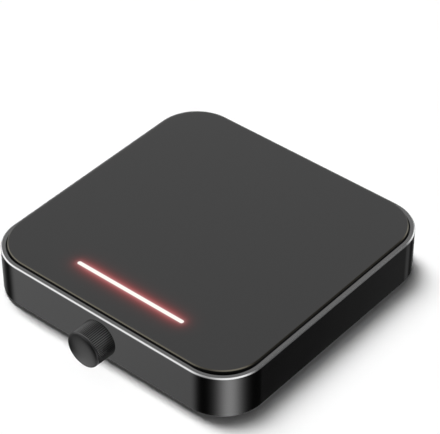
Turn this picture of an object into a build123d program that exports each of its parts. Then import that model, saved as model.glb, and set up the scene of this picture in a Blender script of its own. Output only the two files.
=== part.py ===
from build123d import *
import os
from math import asin, atan2, degrees, pi, sqrt

# Electric mug warmer. Millimetres, +Z up, the knob faces -Y.
# The origin is the centre of the square body's footprint, on the surface that the feet stand on.

# ---------------------------------------------------------------- driving sizes: casing
body_width = 130.0          # across the metal frame, X
body_depth = 130.0          # across the metal frame, Y
corner_radius = 19.3        # outer corners, seen from above
wall_height = 19.9          # the metal wall, from its lower edge to the rim
stand_gap = 1.5             # the feet hold the wall this far above the table
wall = 2.0                  # wall and rim thickness
rim_chamfer = 0.5           # bright chamfer round the top edge
lower_edge_radius = 0.4     # rounding of the wall's lower edge
ledge_width = 5.5           # shelf that carries the glass
ledge_thickness = 1.3
gusset_thickness = 1.6      # small webs under the shelf
gusset_height = 4.6
gusset_offset = 34.0        # from the middle of each side
shelf_relief = 0.1          # least room between the shelf and the encoder or the inlet's nut
boss_radius = 3.5           # corner bosses that take the cover screws
boss_inset = 13.5           # from the corner's centre of curvature, outwards
cover_pad_height = 1.9      # pads on the cover that bear on the bosses

glass_thickness = 4.0
glass_proud = 1.6           # the glass stands this far above the rim
glass_corner_radius = 18.6  # rounder than the rim's inner corners
glass_chamfer = 0.6
glass_gap = 0.15            # from rim to glass, along the straight sides
gasket_thickness = 0.5      # flat rubber ring between shelf and glass
gasket_clearance = 0.1

cover_recess = 0.4          # underside of the cover above the wall's lower edge
cover_thickness = 2.2
cover_clearance = 0.15
lip_thickness = 1.2
lip_height = 1.3
rib_thickness = 1.2
rib_height = 2.0
vent_width = 2.4
vent_length = 15.0
vent_pitch = 6.0
vent_columns = 7
vent_row_offset = 11.0      # rows of vents on each side of the heater's centre line
cover_pad_radius = 4.6

foot_radius = 7.0
foot_seat = 1.0             # depth of the recess that holds a foot
foot_inset = 21.0           # from the outside of the frame to a foot's centre
foot_edge = 0.4
foot_cup_radius = 3.6
foot_cup_depth = 0.5

screw_shank_radius = 1.2    # M3 self-tapping, thread left plain
screw_head_radius = 2.75
screw_head_height = 1.8
screw_head_bevel = 0.55
screw_clearance = 0.35
pilot_clearance = 0.05
pilot_spare = 0.9           # depth of a pilot hole beyond the screw's tip
cover_screw_grip = 8.0
counterbore_extra = 0.1     # the counterbores end this far above the cover's plate

# ---------------------------------------------------------------- driving sizes: heating
heater_setback = 37.0       # from the board's rear edge to the hot zone's centre
spreader_radius = 40.0
spreader_thickness = 1.5
track_thickness = 0.2
track_width = 2.0
track_columns = 20
track_span = 68.0           # first column to last column
track_radius = 35.5         # columns end inside this circle
bus_radius = 38.2           # the two arcs that lead to the terminals
terminal_pitch = 3.96
terminal_width = 2.4
terminal_reach = 46.7       # from the heater's centre to the terminals' ends
film_thickness = 0.3
film_tail_width = 9.0
film_tail_reach = 43.5
pad_thickness = 3.0
retainer_thickness = 1.0
retainer_radius = 34.0
retainer_skirt = 1.0
retainer_skirt_thickness = 0.8
retainer_arm_width = 8.0
retainer_arm_relief = 1.0   # the skirt stops this far from an arm, on each side
retainer_window_radius = 21.0
retainer_window_width = 6.0
retainer_window_angle = 56.0
tower_offset = 31.0         # the four towers, in X and in Y from the heater's centre
tower_radius = 3.5
tower_screw_grip = 7.0
tower_head_radius = 2.6
tower_head_height = 1.6
tower_head_bevel = 0.5
tower_web = 1.2
tower_web_reach = 3.0
tower_web_drop = 1.5        # the webs end this far below the towers' tops
bead_radius = 1.5
bead_height = 2.2
bead_clearance = 0.5
bead_rounding = 0.7
leg_overlap = 0.3           # a leg's end inside its bead
leg_radius = 0.3
bead_leg_pitch = 1.6
fuse_x = 14.0
fuse_radius = 1.9
fuse_length = 10.0
fuse_leg_span = 16.0
fuse_clearance = 0.3
fuse_window_spare = 1.5     # room for a leg at each end of the window
fuse_leg_root = 0.5
fuse_leg_bend = 1.0

# ---------------------------------------------------------------- driving sizes: light bar
bar_x = 0.0
bar_setback = 17.3          # the bar's centre line behind the casing's front face
bar_length = 55.5
bar_width = 2.2
bar_clearance = 0.1
bar_flange = 1.0
light_box_length = 62.0
light_box_width = 8.4
light_cavity_height = 5.8
light_wall = 1.0            # round the LED board
light_end_wall = 1.7
light_cavity_end = 2.0      # walls of the cavity above the LED board
light_cavity_side = 1.6
light_box_corner = 1.0
light_stand = 1.55          # underside of the LED board above the control board
diffuser_clearance = 0.2
catch_offset = 15.0         # small catches under the diffuser's flange
catch_length = 4.0
catch_height = 0.6
catch_reach = 0.45
locating_pin_radius = 0.7
locating_pin_clearance = 0.1
led_board_thickness = 1.0
led_count = 9
header_offset_x = 18.0      # from the bar's centre to the header's
header_offset_y = 2.1
header_pitch = 2.54
header_pin_count = 4
header_width = 2.0
header_pin_proud = 0.5
led_pitch = 6.0
led_length = 3.2
led_width = 2.8
led_height = 0.8
led_bevel = 0.15
led_window_radius = 1.0
led_window_depth = 0.2

# ---------------------------------------------------------------- driving sizes: board
board_half_width = 44.0
board_wall_gap = 1.5        # front edge of the board to the wall's inner face
board_depth = 32.5
board_thickness = 1.6
board_corner = 1.5
board_screw_x_front = 38.0
board_screw_x_rear = 27.0
board_screw_inset_front = 4.5
board_screw_inset_rear = 4.0
board_screw_shank = 1.0
board_screw_head = 2.1
board_screw_head_height = 1.3
board_screw_head_bevel = 0.4
board_screw_clearance = 0.2
board_screw_grip = 1.3
board_pilot_spare = 0.2
board_post_radius = 2.4
pin_radius = 0.35
pin_clearance = 0.12
pin_tail = 0.6              # soldered pin ends below the board
chip_x = -20.0
chip_inset = 5.5            # centres of the chip and the switch behind the board's front edge
chip_side = 6.0
chip_height = 1.3
chip_lift = 0.15
chip_bevel = 0.25
chip_leads_per_side = 6
chip_lead_pitch = 0.9
chip_lead_width = 0.4
chip_lead_length = 1.4
switch_x = 20.0
switch_length = 6.6
switch_width = 6.0
switch_height = 2.3
switch_bevel = 0.3
switch_tab_thickness = 0.5
switch_tab_length = 1.2
switch_lead_length = 1.8
switch_lead_width = 0.8
switch_lead_offset = 2.3
capacitor_x = 36.5
capacitor_radius = 3.15
capacitor_height = 7.0
capacitor_inset = 15.5      # middle of the pair behind the board's front edge
capacitor_pitch = 6.8
capacitor_bevel = 0.4
capacitor_neck_low = 1.0
capacitor_neck_height = 0.6
capacitor_neck_depth = 0.3
inductor_x = -37.0
inductor_inset = 15.5
inductor_side = 7.0
inductor_height = 4.0
inductor_corner = 1.0
inductor_groove_outer = 2.9
inductor_groove_inner = 1.9
inductor_groove_depth = 0.5

# ---------------------------------------------------------------- driving sizes: knob and encoder
shaft_radius = 3.0
shaft_running_clearance = 0.05
bush_wall = 0.5             # thickness of the bush, with the shaft's running clearance
bush_reach = 4.5            # the bush beyond the wall's outer face
bush_flange_reach = 0.6     # the flange beyond the bush's side
bush_flange = 0.5
bush_bevel = 0.35
bush_hole_clearance = 0.1
bush_fit = 0.05             # washer, nut and frame round the bush
washer_reach = 2.5          # the washer beyond the bush's side
washer_thickness = 0.5
nut_wall = 1.5              # from the bush's side to the nut's flats
nut_thickness = 2.0
nut_corner = 0.55           # corners rounded this far outside the flats
shaft_flat = 1.5            # depth of the D-shaped end's flat
shaft_bevel = 0.2
rotor_shaft_step = 0.6      # the shaft's rear part is this much smaller in radius
rotor_flat = 0.7
rotor_fit = 0.05
collar_step = 0.5           # the stop collar is this much larger in radius
collar_thickness = 0.4
collar_clearance = 0.1
push_travel = 0.3
encoder_height = 9.6
encoder_width = 10.6
encoder_depth = 8.5
encoder_rear_wall = 1.0
encoder_bevel = 0.6
rotor_side_clearance = 0.1
terminal_spread = 2.5
terminal_row_front = 5.6    # rows of terminals, from the encoder's rear face
terminal_row_rear = 1.2
frame_plate = 0.5
frame_side = 0.4
frame_side_inset = 1.0
frame_side_stop = 1.5       # the frame's arms end this far before the rear face
frame_tab_offset = 3.2
frame_tab_width = 2.0
frame_tab_tail = 0.4
frame_slot_clearance = 0.2
rotor_step = 0.1              # the rotor is this much larger in radius than the bush's flange
rotor_thickness = 1.8
detent_count = 20
detent_depth = 0.25
detent_ring_wall = 0.55
detent_ring_thickness = 0.2
detent_nub_radius = 0.2
detent_nub_gap = 0.05
dome_radius = 3.2
dome_height = 0.7
dome_thickness = 0.15

knob_rear_radius = 8.2
knob_face_radius = 7.9
knob_gap = 0.5              # rear rim of the knob to the wall
knob_reach = 10.3           # face of the knob from the wall
knob_smooth_band = 0.3      # plain band behind the knurl, and half as much before it
knob_edge = 0.45
knob_dish_depth = 0.7
knob_dish_rim = 0.7
knob_web = 0.8
knob_washer_clearance = 0.6
knob_core_step = 0.6        # the core's bore is this much smaller in radius than the recess
knob_rear_bevel = 0.1
knurl_count = 60
knurl_depth = 0.32
knob_press_clearance = 0.02
knob_shaft_relief = 0.5     # room between the shaft's end and the bore's

# ---------------------------------------------------------------- driving sizes: inlet
inlet_x = 0.0
jack_radius = 4.0
jack_bore = 2.85            # takes a 5.5 mm plug sleeve
jack_pin_radius = 1.05      # takes a 2.1 mm plug bore
jack_flange_radius = 5.5
jack_flange = 1.2
jack_flange_bevel = 0.35
jack_depth = 11.5           # from the wall's outer face inwards
jack_insulator = 3.0
jack_pin_recess = 0.4
jack_pin_tip = 0.5          # rounding of the pin's end
jack_pin_shoulder = 1.6
jack_tail = 3.5
jack_tail_radius = 0.6
jack_fit = 0.02
jack_nut_fit = 0.05
jack_contact_offset = 3.35
jack_contact_thickness = 0.5
jack_contact_width = 2.4
jack_nut_wall = 1.0         # from the jack's side to the nut's flats
jack_nut_thickness = 2.0
jack_hole_clearance = 0.1

# ---------------------------------------------------------------- driving sizes: leads
power_lead_radius = 0.8
power_lead_turn = 3.4       # first turn of the power leads, from the jack's tail
power_lead_pitch = 2.0
power_lead_drop = (18.0, 8.0)   # start and end of their slope, from the plug
signal_lead_radius = 0.5
fuse_lead_run = 18.0
fuse_lead_straight = 6.0
socket_pitch = 2.5
socket_x = 40.0
socket_width = 7.4
socket_depth = 7.5
socket_height = 5.6
socket_wall = 0.8
plug_reach = 5.0
plug_clearance = 0.1
plug_bevel = 0.4
plug_pin_clearance = 0.1
socket_rear_wall = 1.5
heater_socket_height = 5.0
heater_socket_floor = 1.0
heater_socket_end = 2.58    # from a terminal's centre line to the shell's end
heater_socket_half_y = 2.9
heater_plug_height = 2.4

# ---------------------------------------------------------------- levels and faces worked out from them
wall_bottom = stand_gap
rim_top = wall_bottom + wall_height
glass_top_z = rim_top + glass_proud
glass_bottom = glass_top_z - glass_thickness
ledge_top = glass_bottom - gasket_thickness
ledge_bottom = ledge_top - ledge_thickness
cover_bottom = wall_bottom + cover_recess
cover_top = cover_bottom + cover_thickness
boss_foot = cover_top + cover_pad_height
knob_z = wall_bottom + wall_height / 2
front_face = -body_depth / 2
front_inner = front_face + wall
rear_face = body_depth / 2
rear_inner = rear_face - wall
inner_width = body_width - 2 * wall
inner_depth = body_depth - 2 * wall
inner_radius = corner_radius - wall
ledge_inner_width = inner_width - 2 * ledge_width
ledge_inner_depth = inner_depth - 2 * ledge_width
ledge_inner_radius = inner_radius - ledge_width

boss_x = body_width / 2 - corner_radius + boss_inset / sqrt(2)
boss_y = body_depth / 2 - corner_radius + boss_inset / sqrt(2)
foot_x = body_width / 2 - foot_inset
foot_y = body_depth / 2 - foot_inset
counterbore_top = cover_top + counterbore_extra

spreader_bottom = glass_bottom - spreader_thickness
track_bottom = spreader_bottom - track_thickness
film_bottom = track_bottom - film_thickness
pad_bottom = film_bottom - pad_thickness
retainer_bottom = pad_bottom - retainer_thickness

board_top = knob_z - encoder_height / 2
board_bottom = board_top - board_thickness
board_front_y = front_inner + board_wall_gap
board_rear_y = board_front_y + board_depth
board_screw_rows = [
    (board_screw_x_front, board_front_y + board_screw_inset_front),
    (board_screw_x_rear, board_rear_y - board_screw_inset_rear),
]
board_screw_places = [(side * x, y) for x, y in board_screw_rows for side in (-1, 1)]
bar_y = front_face + bar_setback
heater_y = board_rear_y + heater_setback
heater_terminal_y = heater_y - terminal_reach + terminal_width / 2

bush_radius = shaft_radius + bush_wall
bush_flange_radius = bush_radius + bush_flange_reach
washer_radius = bush_radius + washer_reach
nut_across_flats = 2 * (bush_radius + nut_wall)
rotor_shaft_radius = shaft_radius - rotor_shaft_step
collar_radius = shaft_radius + collar_step
rotor_radius = bush_flange_radius + rotor_step
detent_ring_inner = rotor_radius - detent_ring_wall
encoder_bore = rotor_radius + rotor_side_clearance
knob_recess_radius = washer_radius + knob_washer_clearance
knob_core_radius = knob_recess_radius - knob_core_step

inlet_z = knob_z
jack_nut_flats = 2 * (jack_radius + jack_nut_wall)
lead_z = board_top + 0.5 * socket_height
socket_front_y = board_rear_y - socket_depth
plug_rear_y = board_rear_y + plug_reach

nodes = {}


# ---------------------------------------------------------------- plain building blocks
def rounded_slab(width, depth, radius, low, high):
    return Pos(0, 0, low) * extrude(RectangleRounded(width, depth, radius), high - low)


def upright(radius, low, high, x=0.0, y=0.0):
    return Pos(x, y, low) * Cylinder(radius, high - low, align=(Align.CENTER, Align.CENTER, Align.MIN))


def along_y(radius, start, end, x=0.0, z=0.0):
    rod = Cylinder(radius, end - start, align=(Align.CENTER, Align.CENTER, Align.MIN))
    return Pos(x, start, z) * Rot(-90, 0, 0) * rod


def along_x(radius, start, end, y=0.0, z=0.0):
    rod = Cylinder(radius, end - start, align=(Align.CENTER, Align.CENTER, Align.MIN))
    return Pos(start, y, z) * Rot(0, 90, 0) * rod


def block(x_low, x_high, y_low, y_high, z_low, z_high):
    middle = Pos((x_low + x_high) / 2, (y_low + y_high) / 2, (z_low + z_high) / 2)
    return middle * Box(x_high - x_low, y_high - y_low, z_high - z_low)


def slab_at(sketch, low, high):
    return Pos(0, 0, low) * extrude(sketch, high - low)


def corners(x, y):
    return [(sx * x, sy * y) for sx in (-1, 1) for sy in (-1, 1)]


def hexagon_y(across_flats, start, end, x, z):
    outline = Rot(-90, 0, 0) * RegularPolygon(across_flats / 2, 6, major_radius=False)
    return Pos(x, start, z) * extrude(outline, end - start, dir=(0, 1, 0))


def group(solids):
    return Compound(children=list(solids))


def edges_at_height(part, height):
    return part.edges().filter_by_position(Axis.Z, height - 0.001, height + 0.001)


def tube(points, radii, radius):
    path = FilletPolyline(*points, radius=radii)
    start = Plane(origin=path @ 0, z_dir=path % 0)
    return sweep(start * Circle(radius), path=path)


# ---------------------------------------------------------------- casing
def corner_bosses():
    bosses = [upright(boss_radius, boss_foot, ledge_top, x, y) for x, y in corners(boss_x, boss_y)]
    inside = rounded_slab(
        body_width - wall, body_depth - wall, corner_radius - wall / 2, boss_foot, ledge_top
    )
    return Part() + [boss & inside for boss in bosses]


def gussets():
    profile = Polyline(
        (0, ledge_bottom), (ledge_width, ledge_bottom), (0, ledge_bottom - gusset_height), close=True
    )
    face = make_face(Plane.YZ * profile)
    web = Pos(-gusset_thickness / 2, 0, 0) * extrude(face, gusset_thickness, dir=(1, 0, 0))
    webs = []
    for offset in (-gusset_offset, gusset_offset):
        webs.append(Pos(offset, -inner_depth / 2, 0) * web)
        webs.append(Pos(offset, inner_depth / 2, 0) * Rot(0, 0, 180) * web)
        webs.append(Pos(-inner_width / 2, offset, 0) * Rot(0, 0, -90) * web)
        webs.append(Pos(inner_width / 2, offset, 0) * Rot(0, 0, 90) * web)
    return webs


def shelf_reliefs():
    encoder_half = encoder_width / 2 + frame_side + shelf_relief
    nut_half = jack_nut_flats / 2 + nut_corner + shelf_relief
    encoder_room = block(
        -encoder_half, encoder_half, front_inner, encoder_rear_y + shelf_relief,
        wall_bottom, knob_z + encoder_height / 2 + shelf_relief,
    )
    nut_room = block(
        inlet_x - nut_half, inlet_x + nut_half, rear_inner - jack_nut_thickness - shelf_relief, rear_inner,
        wall_bottom, inlet_z + jack_nut_flats / 2 + shelf_relief,
    )
    return [encoder_room, nut_room]


def make_housing():
    shell = rounded_slab(body_width, body_depth, corner_radius, wall_bottom, rim_top)
    shell = chamfer(edges_at_height(shell, rim_top), rim_chamfer)
    shell = fillet(edges_at_height(shell, wall_bottom), lower_edge_radius)
    shell -= rounded_slab(inner_width, inner_depth, inner_radius, ledge_top, rim_top)
    shell -= rounded_slab(inner_width, inner_depth, inner_radius, wall_bottom, ledge_bottom)
    shell -= rounded_slab(
        ledge_inner_width, ledge_inner_depth, ledge_inner_radius, ledge_bottom, ledge_top
    )
    shell += corner_bosses()
    shell += gussets()
    shell -= shelf_reliefs()
    for x, y in corners(boss_x, boss_y):
        shell -= upright(screw_shank_radius + pilot_clearance, boss_foot, boss_foot + cover_screw_grip, x, y)
    shell -= along_y(bush_radius + bush_hole_clearance, front_face, front_inner, 0, knob_z)
    shell -= along_y(jack_radius + jack_hole_clearance, rear_inner, rear_face, inlet_x, inlet_z)
    return shell


def make_glass():
    width = inner_width - 2 * glass_gap
    depth = inner_depth - 2 * glass_gap
    plate = rounded_slab(width, depth, glass_corner_radius, glass_bottom, glass_top_z)
    return chamfer(edges_at_height(plate, glass_top_z), glass_chamfer)


def make_gasket():
    slack = 2 * gasket_clearance
    radius = inner_radius - gasket_clearance
    ring = rounded_slab(inner_width - slack, inner_depth - slack, radius, ledge_top, glass_bottom)
    ring -= rounded_slab(
        ledge_inner_width, ledge_inner_depth, ledge_inner_radius, ledge_top, glass_bottom
    )
    return ring


def cover_ribs(low, high):
    ribs = []
    reach_x = inner_width / 2 - cover_clearance - lip_thickness / 2
    for side in (-1, 1):
        y = heater_y + side * tower_offset
        ribs.append(block(-reach_x, reach_x, y - rib_thickness / 2, y + rib_thickness / 2, low, high))
        x = side * tower_offset
        ribs.append(
            block(
                x - rib_thickness / 2, x + rib_thickness / 2,
                heater_y - tower_offset, inner_depth / 2 - cover_clearance - lip_thickness / 2, low, high,
            )
        )
    ribs.append(
        block(
            -tower_offset, tower_offset,
            heater_y - rib_thickness / 2, heater_y + rib_thickness / 2, low, high,
        )
    )
    return ribs


def tower(x, y):
    post = upright(tower_radius, cover_top, retainer_bottom, x, y)
    web_height = retainer_bottom - cover_top - tower_web_drop
    reach = tower_radius + tower_web_reach
    flank = Polyline((0, cover_top), (reach, cover_top), (0, cover_top + web_height), close=True)
    web = make_face(Plane.XZ * flank)
    web = Pos(0, tower_web / 2, 0) * extrude(web, tower_web, dir=(0, -1, 0))
    outwards = degrees(atan2(y - heater_y, x))
    for turn in (-90, 90, 180):
        post += Pos(x, y, 0) * Rot(0, 0, outwards + turn) * web
    return post


def make_cover():
    width = inner_width - 2 * cover_clearance
    depth = inner_depth - 2 * cover_clearance
    radius = inner_radius - cover_clearance
    cover = rounded_slab(width, depth, radius, cover_bottom, cover_top)
    lip = rounded_slab(width, depth, radius, cover_top, cover_top + lip_height)
    lip -= rounded_slab(
        width - 2 * lip_thickness, depth - 2 * lip_thickness, radius - lip_thickness,
        cover_top, cover_top + lip_height,
    )
    cover += lip
    outline = rounded_slab(width, depth, radius, cover_bottom, boss_foot)
    for x, y in corners(boss_x, boss_y):
        cover += upright(cover_pad_radius, cover_top, boss_foot, x, y) & outline
    cover += cover_ribs(cover_top, cover_top + rib_height)
    for x, y in corners(tower_offset, tower_offset):
        cover += tower(x, y + heater_y)
    for x, y in board_screw_places:
        cover += upright(board_post_radius, cover_top, board_bottom, x, y)
    for x, y in corners(boss_x, boss_y):
        cover -= upright(screw_head_radius + screw_clearance, cover_bottom, counterbore_top, x, y)
        cover -= upright(screw_shank_radius + screw_clearance, counterbore_top, boss_foot, x, y)
    for x, y in corners(foot_x, foot_y):
        cover -= upright(foot_radius + cover_clearance, cover_bottom, cover_bottom + foot_seat, x, y)
    for x, y in corners(tower_offset, tower_offset):
        top = retainer_bottom
        cover -= upright(
            screw_shank_radius + pilot_clearance, top - tower_screw_grip, top, x, y + heater_y
        )
    for x, y in board_screw_places:
        cover -= upright(
            board_screw_shank + pilot_clearance, board_bottom - board_screw_grip, board_bottom, x, y
        )
    slot = SlotOverall(vent_length, vent_width, rotation=90)
    vents = []
    for column in range(vent_columns):
        x = (column - (vent_columns - 1) / 2) * vent_pitch
        for row in (-1, 1):
            y = heater_y + row * vent_row_offset
            vents.append(Pos(x, y, cover_bottom) * extrude(slot, cover_thickness))
    return cover - vents


def make_foot(x, y):
    top = cover_bottom + foot_seat
    foot = upright(foot_radius, 0, top, x, y)
    foot = chamfer(edges_at_height(foot, 0), foot_edge)
    return foot - upright(foot_cup_radius, 0, foot_cup_depth, x, y)


def pan_screw(x, y, shank_radius, head_radius, head_height, bevel, seat, tip):
    """A screw whose head bears on the level `seat`; its tip may lie above or below that."""
    away = -1 if tip > seat else 1
    head_end = seat + away * head_height
    head = upright(head_radius, min(seat, head_end), max(seat, head_end), x, y)
    head = chamfer(edges_at_height(head, head_end), bevel)
    return head + upright(shank_radius, min(seat, tip), max(seat, tip), x, y)


def make_cover_screws():
    tip = boss_foot + cover_screw_grip - pilot_spare
    return group(
        pan_screw(
            x, y, screw_shank_radius, screw_head_radius, screw_head_height, screw_head_bevel,
            counterbore_top, tip,
        )
        for x, y in corners(boss_x, boss_y)
    )


# ---------------------------------------------------------------- heating
def heater_disc(radius, low, high):
    return upright(radius, low, high, 0, heater_y)


def track_sketch():
    pitch = track_span / (track_columns - 1)
    places = [i * pitch - track_span / 2 for i in range(track_columns)]
    reach = [sqrt(track_radius**2 - x**2) - pitch / 2 for x in places]
    upper = [0.0] * track_columns
    lower = [0.0] * track_columns
    ring = Circle((pitch + track_width) / 2) - Circle((pitch - track_width) / 2)
    half = Rectangle(2 * pitch, pitch, align=(Align.CENTER, Align.MIN))
    bend = ring & half
    track = Sketch()
    for i in range(track_columns - 1):
        end = min(reach[i], reach[i + 1])
        middle = (places[i] + places[i + 1]) / 2
        if i % 2 == 0:
            upper[i] = end
            upper[i + 1] = end
            track += Pos(middle, end) * bend
        else:
            lower[i] = -end
            lower[i + 1] = -end
            track += Pos(middle, -end) * Rot(0, 0, 180) * bend
    outer_end = -sqrt(bus_radius**2 - places[0]**2)
    lower[0] = outer_end
    lower[-1] = outer_end
    for x, top, bottom in zip(places, upper, lower):
        track += Pos(x, (top + bottom) / 2) * Rectangle(track_width, top - bottom)
    return track, places[0], outer_end


def bus_sketch(first_x, outer_end):
    terminal_x = terminal_pitch / 2
    start = 180 + degrees(atan2(-outer_end, -first_x))
    finish = 270 - degrees(asin(terminal_x / bus_radius))
    left = SlotArc(CenterArc((0, 0), bus_radius, start, finish - start), track_width)
    right = mirror(left, about=Plane.YZ)
    bus_end = sqrt(bus_radius**2 - terminal_x**2)
    tab = Rectangle(terminal_width, terminal_reach - bus_end)
    tabs = [Pos(side * terminal_x, -(terminal_reach + bus_end) / 2) * tab for side in (-1, 1)]
    return left + right + tabs


def make_heater_element():
    track, first_x, outer_end = track_sketch()
    outline = track + bus_sketch(first_x, outer_end)
    return Pos(0, heater_y, 0) * slab_at(outline, track_bottom, spreader_bottom)


def make_heater_film():
    outline = Circle(spreader_radius)
    tail = Rectangle(film_tail_width, film_tail_reach, align=(Align.CENTER, Align.MAX))
    return Pos(0, heater_y, 0) * slab_at(outline + tail, film_bottom, track_bottom)


def sensor_openings(low, high):
    bead = upright(bead_radius + bead_clearance, low, high, 0, heater_y)
    slot = SlotOverall(fuse_leg_span + 2 * fuse_window_spare, 2 * (fuse_radius + fuse_clearance))
    return [bead, Pos(fuse_x, heater_y, low) * extrude(slot, high - low)]


def make_pad():
    return heater_disc(spreader_radius, pad_bottom, film_bottom) - sensor_openings(pad_bottom, film_bottom)


def make_retainer():
    plate = Circle(retainer_radius)
    diagonal = 2 * sqrt(2) * tower_offset + retainer_arm_width
    for turn in (45, 135):
        plate += SlotOverall(diagonal, retainer_arm_width, rotation=turn)
    part = slab_at(plate, retainer_bottom, pad_bottom)
    skirt = Circle(retainer_radius) - Circle(retainer_radius - retainer_skirt_thickness)
    for turn in (45, 135):
        skirt -= SlotOverall(diagonal, retainer_arm_width + 2 * retainer_arm_relief, rotation=turn)
    part += slab_at(skirt, retainer_bottom - retainer_skirt, retainer_bottom)
    sweep_angle = retainer_window_angle
    window = SlotArc(
        CenterArc((0, 0), retainer_window_radius, -sweep_angle / 2, sweep_angle), retainer_window_width
    )
    for turn in (90, 180, 270):
        part -= slab_at(Rot(0, 0, turn) * window, retainer_bottom, pad_bottom)
    part = Pos(0, heater_y, 0) * part
    for x, y in corners(tower_offset, tower_offset):
        part -= upright(
            screw_shank_radius + screw_clearance, retainer_bottom, pad_bottom, x, y + heater_y
        )
    return part - sensor_openings(retainer_bottom, pad_bottom)


def make_retainer_screws():
    tip = retainer_bottom - tower_screw_grip + pilot_spare
    return group(
        pan_screw(
            x, y + heater_y, screw_shank_radius, tower_head_radius, tower_head_height,
            tower_head_bevel, pad_bottom, tip,
        )
        for x, y in corners(tower_offset, tower_offset)
    )


def make_thermistor():
    low = film_bottom - bead_height
    bead = heater_disc(bead_radius, low, film_bottom)
    bead = fillet(edges_at_height(bead, low), bead_rounding)
    for side in (-1, 1):
        y = heater_y + side * bead_leg_pitch / 2
        bead += upright(leg_radius, retainer_bottom, low + leg_overlap, 0, y)
    return bead


def make_thermal_fuse():
    z = film_bottom - fuse_radius
    body = along_x(fuse_radius, fuse_x - fuse_length / 2, fuse_x + fuse_length / 2, heater_y, z)
    for side in (-1, 1):
        inner = fuse_x + side * (fuse_length / 2 - fuse_leg_root)
        outer = fuse_x + side * fuse_leg_span / 2
        leg = [(inner, heater_y, z), (outer, heater_y, z), (outer, heater_y, retainer_bottom)]
        body += tube(leg, [fuse_leg_bend], leg_radius)
    return body


# ---------------------------------------------------------------- light bar
light_box_bottom = board_top + light_stand
led_board_top = light_box_bottom + led_board_thickness
light_ceiling = led_board_top + light_cavity_height
light_cavity_length = light_box_length - 2 * light_cavity_end
light_cavity_width = light_box_width - 2 * light_cavity_side
light_pin_places = [
    bar_x + side * (light_box_length - light_end_wall) / 2 for side in (-1, 1)
]


def bar_slab(width_more, low, high):
    outline = SlotOverall(bar_length + 2 * width_more, bar_width + 2 * width_more)
    return Pos(bar_x, bar_y, low) * extrude(outline, high - low)


def bar_block(length, width, low, high):
    return Pos(bar_x, bar_y, low) * extrude(Rectangle(length, width), high - low)


def make_diffuser():
    flange_low = light_ceiling - bar_flange
    slack = 2 * diffuser_clearance
    flange = bar_block(
        light_cavity_length - slack, light_cavity_width - slack, flange_low, light_ceiling
    )
    return flange + bar_slab(0, light_ceiling, glass_bottom)


def make_light_box():
    box = bar_block(light_box_length, light_box_width, light_box_bottom, glass_bottom)
    box = fillet(box.edges().filter_by(Axis.Z), light_box_corner)
    box -= bar_block(light_cavity_length, light_cavity_width, led_board_top, light_ceiling)
    length = light_box_length - 2 * light_end_wall
    box -= bar_block(length, light_box_width - 2 * light_wall, light_box_bottom, led_board_top)
    box -= bar_slab(bar_clearance, light_ceiling, glass_bottom)
    catch_top = light_ceiling - bar_flange
    for side in (-1, 1):
        inner = bar_y + side * (light_cavity_width / 2 - catch_reach)
        outer = bar_y + side * (light_box_width / 2 - light_wall)
        for x in (bar_x - catch_offset, bar_x + catch_offset):
            box += block(
                x - catch_length / 2, x + catch_length / 2, min(inner, outer), max(inner, outer),
                catch_top - catch_height, catch_top,
            )
    half_width = light_box_width / 2 - light_box_corner
    for x in light_pin_places:
        box += block(
            x - light_end_wall / 2, x + light_end_wall / 2, bar_y - half_width, bar_y + half_width,
            board_top, light_box_bottom,
        )
        box += upright(locating_pin_radius, board_bottom, board_top, x, bar_y)
    return box


header_x = bar_x + header_offset_x
header_y = bar_y + header_offset_y
header_pins = [
    header_x + (i - (header_pin_count - 1) / 2) * header_pitch for i in range(header_pin_count)
]


def make_led_board():
    length = light_box_length - 2 * light_end_wall - diffuser_clearance
    width = light_box_width - 2 * light_wall - diffuser_clearance
    board = bar_block(length, width, light_box_bottom, led_board_top)
    for x in header_pins:
        board -= upright(pin_radius + pin_clearance, light_box_bottom, led_board_top, x, header_y)
    return board


def make_leds():
    leds = []
    for i in range(led_count):
        x = bar_x + (i - (led_count - 1) / 2) * led_pitch
        low = led_board_top
        led = block(
            x - led_length / 2, x + led_length / 2,
            bar_y - led_width / 2, bar_y + led_width / 2, low, low + led_height,
        )
        led = chamfer(edges_at_height(led, low + led_height), led_bevel)
        window_low = low + led_height - led_window_depth
        leds.append(led - upright(led_window_radius, window_low, low + led_height, x, bar_y))
    return group(leds)


def make_led_header():
    half = header_pin_count * header_pitch / 2
    header = block(
        header_x - half, header_x + half, header_y - header_width / 2, header_y + header_width / 2,
        board_top, light_box_bottom,
    )
    for x in header_pins:
        header += upright(
            pin_radius, board_bottom - pin_tail, led_board_top + header_pin_proud, x, header_y
        )
    return header


# ---------------------------------------------------------------- control board
encoder_rear_y = front_inner + encoder_depth
terminal_places = [
    (x, encoder_rear_y - terminal_row_front) for x in (-terminal_spread, 0.0, terminal_spread)
]
terminal_places += [
    (x, encoder_rear_y - terminal_row_rear) for x in (-terminal_spread, terminal_spread)
]
frame_tab_y = front_inner + frame_tab_offset


def make_board():
    half = board_half_width
    board = block(-half, half, board_front_y, board_rear_y, board_bottom, board_top)
    board = fillet(board.edges().filter_by(Axis.Z), board_corner)
    for x, y in board_screw_places:
        board -= upright(board_screw_shank + board_screw_clearance, board_bottom, board_top, x, y)
    for x, y in terminal_places:
        board -= upright(pin_radius + pin_clearance, board_bottom, board_top, x, y)
    for x in header_pins:
        board -= upright(pin_radius + pin_clearance, board_bottom, board_top, x, header_y)
    for x in light_pin_places:
        radius = locating_pin_radius + locating_pin_clearance
        board -= upright(radius, board_bottom, board_top, x, bar_y)
    slot_half_x = frame_side / 2 + frame_slot_clearance
    slot_half_y = frame_tab_width / 2 + frame_slot_clearance
    for side in (-1, 1):
        x = side * (encoder_width + frame_side) / 2
        board -= block(
            x - slot_half_x, x + slot_half_x, frame_tab_y - slot_half_y, frame_tab_y + slot_half_y,
            board_bottom, board_top,
        )
    return board


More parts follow.
